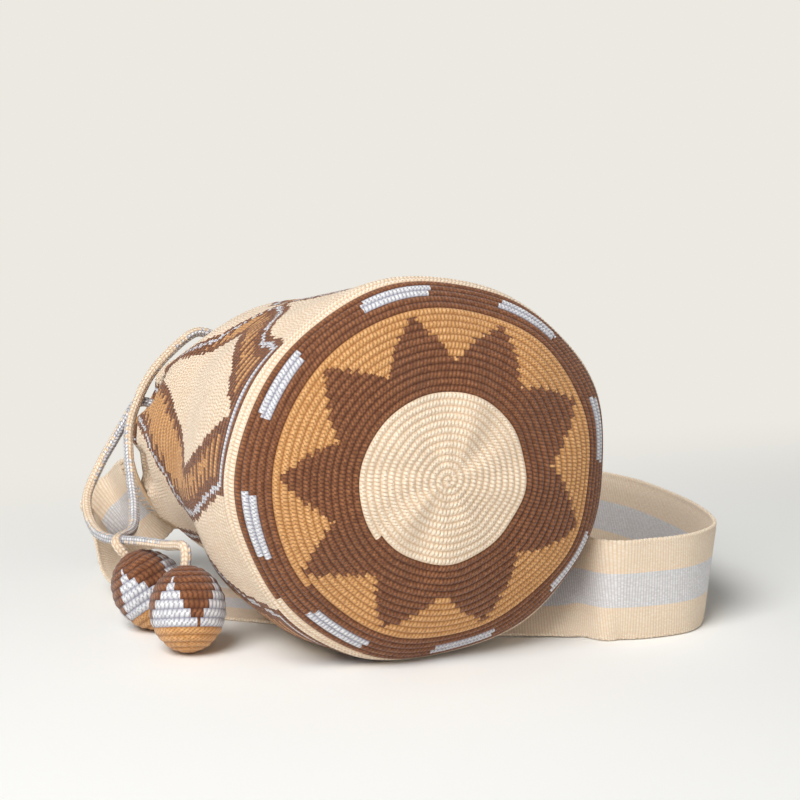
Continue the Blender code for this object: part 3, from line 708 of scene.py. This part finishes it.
# Edges as (millimetres behind the girth, degrees from the figure's middle). They lean, as stitches do.
FIGURE_UPPER = (
    (0, -23.5), (34, -27), (56, -37), (70, -42), (98, -48), (118, -36), (133, -29), (162, -25), (226, -17),
)
FIGURE_LOWER = ((0, 23), (33, 28), (73, 37), (108, 42), (130, 40), (148, 30), (172, 16), (196, 7), (226, 19))
DIAMOND_UPPER = ((7, 0), (64, -21), (88, -28), (133, -20), (186, -18), (212, -17))
DIAMOND_LOWER = ((7, 0), (37, 9), (84, 20), (122, 8), (150, -3), (186, -13), (212, -17))
STITCH_TURN = math.degrees(STITCH_WIDTH / GIRTH_RADIUS)
# The figures close towards the base within this many millimetres of the girth.
FOOT = 20
# In stitches: the silver line within an edge, the height of a round, and brown borders with an uneven inner side.
SILVER_LINE, ROUND_IN_STITCHES = (2.1, 3.7), 1.6
FLAMES = (1.4, 4.6, 2.2, 6.4, 1.6, 5.4)
EDGE_BORDER, DIAMOND_BORDER = (3.8, 1.1, 1.2), (1.6, 0.8, 0.6)
NOWHERE = 99


def along_edge(table, distance, beyond=None):
    """An edge's degrees at distances behind the girth, and a value of its own beyond the edge's two ends."""
    return np.interp(distance, *zip(*table), left=beyond, right=beyond)


def border_width(border, bold, flame):
    plain, least, lick = border
    return plain + bold * (least + flame * lick)


def wall_yarn(distance, rounds, angle):
    """Which yarn a stitch of the wall is, from its millimetres behind the girth, its round and its angle."""
    spread = 360 / FIGURES
    turned = np.degrees(angle) % 360
    turned = turned + NEXT_EARLY * ((turned > FIGURE_TURN + NEXT_FROM) & (turned < FIGURE_TURN + NEXT_TO))
    upper, lower = along_edge(FIGURE_UPPER, distance), along_edge(FIGURE_LOWER, distance)
    swing = (turned - FIGURE_TURN + spread / 2) % spread - spread / 2
    swing = np.where(swing > lower + 1, swing - spread, swing)
    swing = np.where(swing < upper - 1, swing + spread, swing)
    inside = np.minimum(swing - upper, lower - swing) / STITCH_TURN + 0.7
    from_base = rounds - LINE_ROUNDS + 0.5
    inside = np.minimum(inside, np.where(distance < FOOT, from_base * ROUND_IN_STITCHES, NOWHERE))
    above = along_edge(DIAMOND_UPPER, distance, NOWHERE) - swing
    below = swing - along_edge(DIAMOND_LOWER, distance, -NOWHERE)
    to_diamond = np.maximum(above, below) / STITCH_TURN
    flame = np.asarray(FLAMES)[rounds.astype(int) % len(FLAMES)]
    # The flames are boldest towards the base, and faintest on a figure's upper side towards the neck.
    bold = np.where(distance < 100, 1.0, np.where(swing < -14, 0.4, 0.8))
    yarns = np.full(distance.shape, CREAM)
    figure = (inside > 0) & (from_base > 0)
    yarns[figure] = OCHRE
    yarns[figure & (inside < border_width(EDGE_BORDER, bold, flame))] = BROWN
    yarns[figure & (inside > SILVER_LINE[0]) & (inside < SILVER_LINE[1])] = SILVER
    yarns[figure & (to_diamond < border_width(DIAMOND_BORDER, bold, flame))] = BROWN
    yarns[figure & (to_diamond < 0)] = CREAM
    return yarns


def bag_yarn(worked, length, angle):
    """A stitch's yarn, from the length of crochet worked so far, its place on the outline and its angle."""
    from_start = (angle - SPIRAL_START) % (2 * math.pi)
    rounds = np.floor(worked / ROUND_PITCH - from_start / (2 * math.pi)) + 1.0
    distance = (length - dome_length) * 1000
    return np.where(rounds < LINE_ROUNDS - 1, base_yarn(rounds, angle), wall_yarn(distance, rounds, angle))


# %% [markdown]
# ## Bag body
# The outer skin is one grid of stitches, rolled up as a spiral: each column starts one stitch further along,
# and the last column meets the first one a whole round later. Two thirds of the rows lie on top of a round
# and one third in the groove between two rounds, so the ropes of the base are real relief. A few slow bulges
# keep the wall from looking turned on a lathe. A plain inner skin is bridged to the outer one at the rim, so
# the shell has its real thickness where its edge shows.

# %% Outer skin
GROOVE_BASE, GROOVE_WALL, BASE_GROOVES_END = 0.0008, 0.00045, 0.97
# Each bulge: its height, how many go round the bag, its turn per metre along the wall, and its start.
BULGES, BULGES_FULL = ((0.0009, 5, 40, 0.6), (0.0006, 9, -70, 0.0)), 0.03
rows = (ROUNDS + 1) * ROWS_PER_ROUND
outer, along_share, around_share = flat_grid("bag_body", rows, BAG_STITCHES)
spiral = (along_share * (ROUNDS + 1) - 1 + around_share) * ROUND_PITCH
angles = SPIRAL_START + around_share * 2 * math.pi
worked = np.clip(spiral, 0, outline_length)
lengths = leaning(worked, angles)
groove = np.where(lengths < dome_length * BASE_GROOVES_END, GROOVE_BASE, GROOVE_WALL)
in_groove = np.round(along_share * rows).astype(int) % ROWS_PER_ROUND == 0
bulge = sum(high * np.sin(number * angles + run * lengths + start) for high, number, run, start in BULGES)
lift = np.where(in_groove & (spiral > 0), -groove, 0.0) + bulge * soft_step(lengths / BULGES_FULL)

round_at, turn_at, length_at, worked_at = corner_values(
    outer, spiral / ROUND_PITCH - around_share, angles, lengths, worked)
face_length, face_worked = length_at.mean(axis=1), worked_at.mean(axis=1)
face_radius = on_outline(face_length, 1, outline)
stitch_count = np.maximum(np.round(2 * math.pi * face_radius / STITCH_WIDTH), 6)
turned = turn_at.mean(axis=1) / (2 * math.pi)
stitch_turn = (np.floor(turned * stitch_count) + 0.5) / stitch_count * 2 * math.pi
lay_uv(outer, turn_at / (2 * math.pi) * stitch_count[:, None], round_at + 1)
face_yarn = bag_yarn(face_worked, face_length, stitch_turn)
colour_faces(outer, body_yarns, face_yarn)
place_points(outer, on_shell(lengths, angles, lift))
print("outer skin", len(outer.polygons), "faces; yarns", np.bincount(face_yarn, minlength=4))

# %% Inner skin
INNER_ROWS, INNER_COLUMNS, BASE_THICKER = 48, 96, 1.3
inner, along_share, around_share = flat_grid("inner skin", INNER_ROWS, INNER_COLUMNS)
lengths = along_share * outline_length
angles = around_share * 2 * math.pi
turn_at, length_at = corner_values(inner, angles, lengths)
lay_uv(inner, turn_at * GIRTH_RADIUS / STITCH_WIDTH, length_at / ROUND_PITCH)
depth = SHELL_WALL * np.where(lengths < dome_length, BASE_THICKER, 0.0)
place_points(inner, on_shell(lengths, angles, -depth, SHELL_WALL * (lengths >= dome_length)))
inner.materials.append(cream_yarn)
close_mesh(inner)
print("inner skin", len(inner.polygons), "faces")

# %% Join the two skins at the rim
shell = bmesh.new()
shell.from_mesh(outer)
bmesh.ops.remove_doubles(shell, verts=shell.verts, dist=SEAM_REACH)
shell.from_mesh(inner)
open_edges = [edge for edge in shell.edges if edge.is_boundary]
rim_edges = [edge for edge in open_edges if edge.verts[0].co.y - HOME[1] > RIM_AT - SHELL_WALL]
print("rim edges", len(rim_edges), "other open", len(open_edges) - len(rim_edges))
bmesh.ops.bridge_loops(shell, edges=rim_edges)
bmesh.ops.recalc_face_normals(shell, faces=shell.faces)
shell.to_mesh(outer)
shell.free()
bag_body = show("crocheted_body", outer, body_yarns)
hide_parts("bag_body")

# %% [markdown]
# ## Shoulder strap
# The strap is a warp-faced band: thick cross threads make fine ribs from edge to edge. A groove sets off the
# edges, which are scalloped where the thread turns back. It is a grid rolled flat, with four rows to a rib.
# Its ends are curved round the rim where they are sewn on.

# %% A place on the strap
RIB_PITCH, RIB_HEIGHT, SCALLOP, RIBS_PER_SCALLOP = 0.0017, 0.0002, 0.0005, 2
STRAP_STEP, SEWN_FADE, PRESSED_TILT = 0.006, 0.030, 0.035
STRAP_EDGES = np.array((0.5, 0.490, 0.472, 0.452, 0.432, 0.31, 0.17, 0.085, 0.0))
STRAP_FULLNESS = np.array((0.0, 0.74, 1.0, 0.60, 1.0, 1.0, 1.0, 1.0, 1.0))
STRIPE_HALF, SELVEDGE_FROM, SCALLOP_ROOM = 0.17, 0.46, 0.99


def strap_line(lengths, table):
    return curve_through(table, np.interp(lengths, strap_fine_lengths, fine_shares))


def strap_section(lengths):
    """(middle, across, out) of the strap at lengths along it, with what lies on the floor pressed level."""
    middle = strap_line(lengths, strap_middles)
    ahead, back = (strap_line(lengths + step, strap_middles) for step in (STRAP_STEP, -STRAP_STEP))
    along = unit(ahead - back)
    across = strap_line(lengths, strap_sides)
    across = unit(across - along * (across * along).sum(axis=1, keepdims=True))
    pressed = (np.abs(across[:, 2]) < PRESSED_TILT) & (middle[:, 2] < STRAP_THICKNESS * 2)
    for vectors in (across, along):
        vectors[pressed, 2] = 0
    across, along = unit(across), unit(along)
    out = np.cross(along, across)
    low = middle[:, 2] - np.abs(across[:, 2]) * STRAP_WIDTH / 2 - np.abs(out[:, 2]) * STRAP_THICKNESS / 2
    middle[:, 2] -= low * (1 - soft_step((low - 0.004) / 0.008))
    return middle, across, out


def on_strap(lengths, edge, side, rib=0.0, scallop=0.0):
    """A place on the strap: how far along it, how far across it, and on which face."""
    middle, across, out = strap_section(lengths)
    from_end = np.minimum(lengths, strap_length - lengths)
    bow = 1 - soft_step((from_end - SEWN_LENGTH) / SEWN_FADE)
    turned = np.where(lengths < strap_length / 2, 1.0, -1.0)
    width = edge * STRAP_WIDTH * SCALLOP_ROOM
    width = width + np.sign(edge) * (np.abs(edge) > SELVEDGE_FROM) * SCALLOP * scallop
    angle = width / RIM_RADIUS
    bent = (np.sin(angle) * RIM_RADIUS - width) * bow + width
    dip = turned * (1 - np.cos(angle)) * RIM_RADIUS * bow
    raised = side * (STRAP_THICKNESS / 2 + RIB_HEIGHT * (rib - 1) * 0.5) + dip
    place = middle + across * bent[:, None] + out * raised[:, None]
    place[:, 2] = np.maximum(place[:, 2], 0.0001)
    return place


# %% Strap yarns and band
# The first colour of each weave is painted shade for the gaps between its ribs and threads.
cream_weave = yarn("cream_weave", (222, 192, 156), (248, 228, 204), (255, 244, 226), relief=0.0003,
                   slant=0.0, fuzz=0.2)
silver_weave = yarn("silver_weave", (190, 187, 189), (230, 226, 224), (252, 250, 250), relief=0.0003,
                    roughness=0.45, metallic=0.15, slant=0.0, fuzz=0.2)
strap_ribs = round(strap_length / RIB_PITCH)
STRAP_COLUMNS, ROWS_PER_RIB, WARP_WIDTH = 32, 4, 0.0008
band, along_share, around_share = flat_grid("woven_strap", strap_ribs * ROWS_PER_RIB, STRAP_COLUMNS)
column = np.round(around_share * STRAP_COLUMNS).astype(int) % STRAP_COLUMNS
half_columns = STRAP_COLUMNS // 2
folded = half_columns - np.abs(column - half_columns)
from_edge = np.minimum(folded, half_columns - folded)
edge = STRAP_EDGES[from_edge] * np.where(folded > half_columns // 2, -1, 1)
side = STRAP_FULLNESS[from_edge] * np.where(column <= half_columns, 1, -1)
rib = np.abs(np.sin(along_share * strap_ribs * math.pi)) ** 0.7
scallop = np.abs(np.sin(along_share * strap_ribs / RIBS_PER_SCALLOP * math.pi)) - 0.5
places = on_strap(along_share * strap_length, edge, side, rib, scallop)

share_at, column_at, edge_at = corner_values(band, along_share, around_share * STRAP_COLUMNS, edge)
lay_uv(band, edge_at * STRAP_WIDTH / WARP_WIDTH, share_at * strap_ribs)
in_stripe = np.abs(edge_at.mean(axis=1)) < STRIPE_HALF
colour_faces(band, (cream_weave, silver_weave), in_stripe)
place_points(band, places)
close_mesh(band, "fill")
woven_strap = show("woven_strap", band, (cream_weave, silver_weave))
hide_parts("shoulder_strap")

# %% [markdown]
# ## Stitching of the strap's ends
# Each end of the strap is sewn to the rim with thick yarn, in two rows of short stitches across the band. A
# stitch is a small round lump of yarn, longer than wide, that sits half sunk in the band.

# %% Stitches
# The first colour is painted shade for the gaps in the sewing yarn.
sewing_yarn = yarn("sewing_yarn", (196, 160, 116), (234, 206, 172), (248, 226, 196), relief=0.0002, fuzz=0.5)
SEWN_ROWS, SEWN_STITCHES, SEWN_HALF = (0.0035, 0.0115), 17, 0.46
SEWN_AHEAD, SEWN_ACROSS, THREAD_RADIUS, THREAD_STRETCH = 0.002, 0.012, 0.0008, 2.6


def strap_spot(length, edge, side):
    """One place on the strap's ribs."""
    return on_strap(np.array([length]), np.array([edge]), np.array([side]), 1.0)[0]


def sew_end(name, near_end, outer_side):
    """Two rows of stitches across one end of the strap."""
    work = bmesh.new()
    for from_end in SEWN_ROWS:
        for edge in np.linspace(-SEWN_HALF, SEWN_HALF, SEWN_STITCHES):
            at = from_end if near_end else strap_length - from_end
            middle = strap_spot(at, edge, outer_side)
            ahead = strap_spot(at + SEWN_AHEAD, edge + SEWN_ACROSS, outer_side)
            lump = bmesh.ops.create_uvsphere(work, u_segments=8, v_segments=6, radius=THREAD_RADIUS)
            stitch = lump["verts"]
            bmesh.ops.scale(work, verts=stitch, vec=(1, 1, THREAD_STRETCH))
            turn = Vector((0, 0, 1)).rotation_difference(Vector(ahead - middle)).to_matrix()
            bmesh.ops.rotate(work, verts=stitch, matrix=turn)
            bmesh.ops.translate(work, verts=stitch, vec=Vector(middle + HOME))
    mesh = finished_mesh(name, work)
    mesh.uv_layers.new(name="stitches")
    return show(name, mesh, (sewing_yarn,))


sew_end("strap_stitching_left", True, -1.0)
sew_end("strap_stitching_right", False, 1.0)

# %% [markdown]
# ## Drawcord
# The cord is a round braid of eight strands, with cream yarn on one side and silver on the other, and it
# twists slowly. Its frame is carried along the line without spinning, so the twist is only the twist that is
# put in. The strands lean one way and the other by turns, which the stitch map gives them.

# %% Frames along a line
def carried_frames(points):
    """Two directions across a line at each of its points, carried along it without spinning."""
    along = unit(np.gradient(points, axis=0))
    first = np.cross(along[0], (0.0, 0.0, 1.0))
    across = [first / np.linalg.norm(first)]
    for direction in along[1:]:
        carried = across[-1] - direction * across[-1].dot(direction)
        across.append(carried / np.linalg.norm(carried))
    across = np.array(across)
    return across, np.cross(along, across)


# %% Braided cord
BRAID_PITCH, BRAID_STRANDS, CORD_COLUMNS, CORD_ROW = 0.0024, 8, 16, 0.0013
BRAID_SWELL, SILVER_SIDE, TWIST_LENGTH = 0.05, 2.8, 0.16
CORD_TWIST = 2 * math.pi / TWIST_LENGTH
# The first colour of each braid yarn is painted shade for the gaps between its strands.
cream_braid = yarn("cream_braid", (206, 174, 138), (242, 220, 194), (255, 240, 220), relief=0.0004, slant=0.0)
silver_braid = yarn("silver_braid", (128, 126, 136), (216, 214, 216), (250, 249, 250), relief=0.0004,
                    roughness=0.4, metallic=0.2, slant=0.0)
cord_rows = round(cord_length / CORD_ROW)
cord_fine_lengths = lengths_along(cord_fine)
row_lengths = np.linspace(0, cord_length, cord_rows + 1)
cord_line = np.column_stack([np.interp(row_lengths, cord_fine_lengths, column) for column in cord_fine.T])
cord_across, cord_out = carried_frames(cord_line)

tube, along_share, around_share = flat_grid("braided_drawcord", cord_rows, CORD_COLUMNS)
row = np.round(along_share * cord_rows).astype(int)
turn = around_share * 2 * math.pi
strand = around_share * BRAID_STRANDS
swell_turn = 2 * math.pi * (along_share * cord_length / BRAID_PITCH + np.floor(strand) * 0.5)
swell = 1 + BRAID_SWELL * np.cos(swell_turn)
reach = (CORD_DIAMETER / 2 * swell)[:, None]
spoke = np.cos(turn)[:, None] * cord_across[row] + np.sin(turn)[:, None] * cord_out[row]
places = cord_line[row] + reach * spoke
length_at, strand_at = corner_values(tube, along_share * cord_length, strand)
column = np.floor(strand_at.mean(axis=1))[:, None]
lean = np.where(column % 2 == 0, 0.5, -0.5)
lay_uv(tube, length_at / BRAID_PITCH + lean * (strand_at - column), strand_at)
face_length, face_strand = length_at.mean(axis=1), column[:, 0] + 0.5
step_back = 0.5 * (np.floor(face_length / BRAID_PITCH) % 2)
twisted = (face_strand / BRAID_STRANDS * 2 * math.pi + CORD_TWIST * face_length + step_back) % (2 * math.pi)
colour_faces(tube, (cream_braid, silver_braid), twisted < SILVER_SIDE)
place_points(tube, places)
close_mesh(tube, "fill")
drawcord = show("braided_drawcord", tube, (cream_braid, silver_braid))
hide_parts("drawcord")

# %% [markdown]
# ## Balls on the cord's ends
# Each ball is a small crocheted cover, worked in a spiral from its neck to its far end and stuffed hard. It
# is made as the bag is: a grid of stitches rolled up as a spiral. A brown cap surrounds the cord, silver
# steps climb it from the middle, and the far end is ochre.

# %% Ball cover
BALL_ROUNDS, BALL_STITCHES, BALL_ROWS, BALL_STITCH_SHARE = 14, 72, 5, 0.65
BALL_PEAKS, BALL_GROOVE, BALL_LUMP, OPENING_GAP = 4, 0.0004, 0.0003, 0.0004
CAP_DOWN_TO, OCHRE_BELOW = 0.80, -0.20
opening_turn = math.asin((CORD_DIAMETER / 2 + OPENING_GAP) / BALL_RADIUS)


def ball_yarn(height, angle):
    """Brown round the neck, silver steps round the middle and ochre at the end, for heights from -1 to 1."""
    swing = np.abs((angle * BALL_PEAKS / (2 * math.pi)) % 1.0 - 0.5) * 2
    yarns = np.full(height.shape, BROWN)
    yarns[height < CAP_DOWN_TO - swing] = SILVER
    yarns[height < OCHRE_BELOW] = OCHRE
    return yarns


def crochet_ball(name, ball, node, start_turn):
    middle, axis = ball_middle(ball)
    grid, along_share, around_share = flat_grid(name, (BALL_ROUNDS + 1) * BALL_ROWS, BALL_STITCHES)
    spiral = along_share * (BALL_ROUNDS + 1) - 1 + around_share
    down = np.clip(spiral / BALL_ROUNDS, 0, 1)
    turn = opening_turn + (math.pi - opening_turn) * down
    angle = around_share * 2 * math.pi
    phase = (along_share * (BALL_ROUNDS + 1) * BALL_ROWS).round() % BALL_ROWS / BALL_ROWS
    reach = BALL_RADIUS - BALL_GROOVE * (1 - np.sin(phase * math.pi)) * (down > 0) * (down < 1)
    reach = reach + BALL_LUMP * np.sin(turn) * np.sin(5 * angle + 9 * turn) * np.cos(7 * angle - 6 * turn)
    local = np.column_stack((
        np.sin(turn) * np.cos(angle) * reach,
        np.sin(turn) * np.sin(angle) * reach,
        np.cos(turn) * reach * BALL_STRETCH,
    ))
    round_at, angle_at, turn_at = corner_values(grid, spiral - around_share, angle, turn)
    count = np.maximum(np.round(BALL_STITCHES * np.sin(turn_at.mean(axis=1)) * BALL_STITCH_SHARE), 5)
    lay_uv(grid, angle_at / (2 * math.pi) * count[:, None], round_at + 1)
    row_turn = opening_turn + (math.pi - opening_turn) * (np.floor(round_at.mean(axis=1)) + 0.5) / BALL_ROUNDS
    colour_faces(grid, body_yarns, ball_yarn(np.cos(row_turn), angle_at.mean(axis=1) + start_turn))
    tilt = np.array(Vector((0, 0, 1)).rotation_difference(Vector(axis)).to_matrix())
    place_points(grid, local @ tilt.T + middle)
    close_mesh(grid)
    cover = show(name, grid, body_yarns)
    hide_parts(node)
    return cover


FRONT_BALL_START, BACK_BALL_START = math.radians(88), 3.0
crochet_ball("crocheted_ball_front", FRONT_BALL, "ball_cover_front", FRONT_BALL_START)
crochet_ball("crocheted_ball_back", BACK_BALL, "ball_cover_back", BACK_BALL_START)

# %% [markdown]
# ## Stuffing
# The wad inside each ball can only be guessed. It is a soft lump of white fibre, a little smaller than the
# cover.

# %% White fibre
def fibre_material():
    material, tree, shader = new_material("white_fibre", 0.95)
    curl = object_noise(tree, 700, distortion=1.5)
    tree.links.new(mixed(tree, curl, srgb(214, 208, 198), srgb(250, 248, 242)), shader.inputs["Base Color"])
    return material


white_fibre = fibre_material()

# %% Stuffing wads
WAD_GAP, WAD_DENT = 0.0042, 0.024


def stuff(name, ball, node):
    middle, _ = ball_middle(ball)
    work = bmesh.new()
    bmesh.ops.create_icosphere(work, subdivisions=4, radius=BALL_RADIUS - WAD_GAP)
    for vert in work.verts:
        dent = WAD_DENT * math.sin(vert.co.x * 700) * math.cos(vert.co.y * 640 + vert.co.z * 300)
        vert.co = vert.co * (1 - abs(dent)) + Vector(middle + HOME)
    wad = show(name, finished_mesh(name, work), (white_fibre,))
    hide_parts(node)


stuff("stuffing_front", FRONT_BALL, "ball_filling_front")
stuff("stuffing_back", BACK_BALL, "ball_filling_back")

# %% [markdown]
# ## Floor and light
# The table is one sheet of pale paper that turns up behind the bag, so there is no horizon. The light is a
# pale world, soft light from the upper left and a little from the front. It is kept apart from the object,
# and the lamps are set so that a colour renders about as it is written.

# %% Paper sweep
SWEEP_FRONT, SWEEP_BACK, SWEEP_RADIUS, SWEEP_TOP, SWEEP_HALF = -3.0, 1.6, 1.2, 3.5, 4.0
paper = bmesh.new()
corners = [(SWEEP_FRONT, 0.0)]
for turn in np.linspace(0, math.pi / 2, 33):
    corners.append((SWEEP_BACK + math.sin(turn) * SWEEP_RADIUS, (1 - math.cos(turn)) * SWEEP_RADIUS))
corners.append((SWEEP_BACK + SWEEP_RADIUS, SWEEP_TOP))
line = [paper.verts.new((-SWEEP_HALF, y, z)) for y, z in corners]
edges = [paper.edges.new(pair) for pair in zip(line, line[1:])]
wide = bmesh.ops.extrude_edge_only(paper, edges=edges)["geom"]
moved = [part for part in wide if isinstance(part, bmesh.types.BMVert)]
bmesh.ops.translate(paper, verts=moved, vec=(2 * SWEEP_HALF, 0, 0))
bmesh.ops.recalc_face_normals(paper, faces=paper.faces)
floor_data = finished_mesh("floor", paper)
floor_data.shade_smooth()
floor = add_object("floor", floor_data)
print("paper sweep", len(floor_data.polygons), "faces")

# %% [markdown]
# Near the bag the paper takes light and shadow. Further away it glows with the backdrop's own even colour, as
# a separately lit background does, so the floor fades into it. The glow is only there to be looked at: it
# throws no light on the bag.

# %% Paper
BACKDROP, NEAR_PAPER, BLACK = srgb(236, 233, 226), srgb(245, 245, 242), (0, 0, 0, 1)
FADE_FROM, FADE_TO = 0.02, 0.5


def looked_at(tree):
    """1 where the camera looks, straight or by way of a reflection, and 0 where light only passes."""
    rays = add_node(tree, "ShaderNodeLightPath")
    mirrored = maths(tree, "ADD", rays.outputs["Is Glossy Ray"], rays.outputs["Is Transmission Ray"])
    return maths(tree, "ADD", rays.outputs["Is Camera Ray"], mirrored, clamp=True)


paint, tree, shader = new_material("pale_floor", 0.9)
spot = add_node(tree, "ShaderNodeTexCoord")
parts = add_node(tree, "ShaderNodeSeparateXYZ")
tree.links.new(spot.outputs["Object"], parts.inputs[0])
far = add_node(tree, "ShaderNodeMapRange", interpolation_type="SMOOTHSTEP")
tree.links.new(parts.outputs["Y"], far.inputs["Value"])
far.inputs["From Min"].default_value = FADE_FROM
far.inputs["From Max"].default_value = FADE_TO
share = far.outputs["Result"]
tree.links.new(mixed(tree, share, NEAR_PAPER, BLACK), shader.inputs["Base Color"])
tree.links.new(mixed(tree, share, BLACK, BACKDROP), shader.inputs["Emission Color"])
tree.links.new(looked_at(tree), shader.inputs["Emission Strength"])
shader.inputs["Specular IOR Level"].default_value = 0.0
floor_data.materials.append(paint)
print("paper fades out behind", FADE_FROM, "m")

# %% [markdown]
# The world lights the bag weakly from all sides. The camera itself sees it as bright as the backdrop.

# %% World
WORLD_LIGHT = 0.29
world = bpy.data.worlds.new("studio")
bpy.context.scene.world = world
world.use_nodes = True
tree = world.node_tree
background = tree.nodes["Background"]
seen = looked_at(tree)
tree.links.new(mixed(tree, seen, srgb(246, 246, 246), BACKDROP), background.inputs["Color"])
tree.links.new(maths(tree, "MULTIPLY_ADD", seen, 1 - WORLD_LIGHT, WORLD_LIGHT), background.inputs["Strength"])
print("world light", WORLD_LIGHT)

# %% Lamps
def soft_lamp(name, place, size, power, target=(0, 0, 0.08)):
    light = bpy.data.lights.new(name, "AREA")
    light.shape, light.size, light.energy = "DISK", size, power
    lamp = add_object(name, light)
    lamp.location = place
    lamp.rotation_euler = (Vector(target) - Vector(place)).to_track_quat("-Z", "Y").to_euler()
    print("lamp", name, power, "watts")


soft_lamp("key", place=(-1.6, -1.25, 2.2), size=1.9, power=86)
soft_lamp("fill", place=(-0.1, -2.4, 0.18), size=0.34, power=7)
bpy.context.scene.view_settings.view_transform = "Standard"
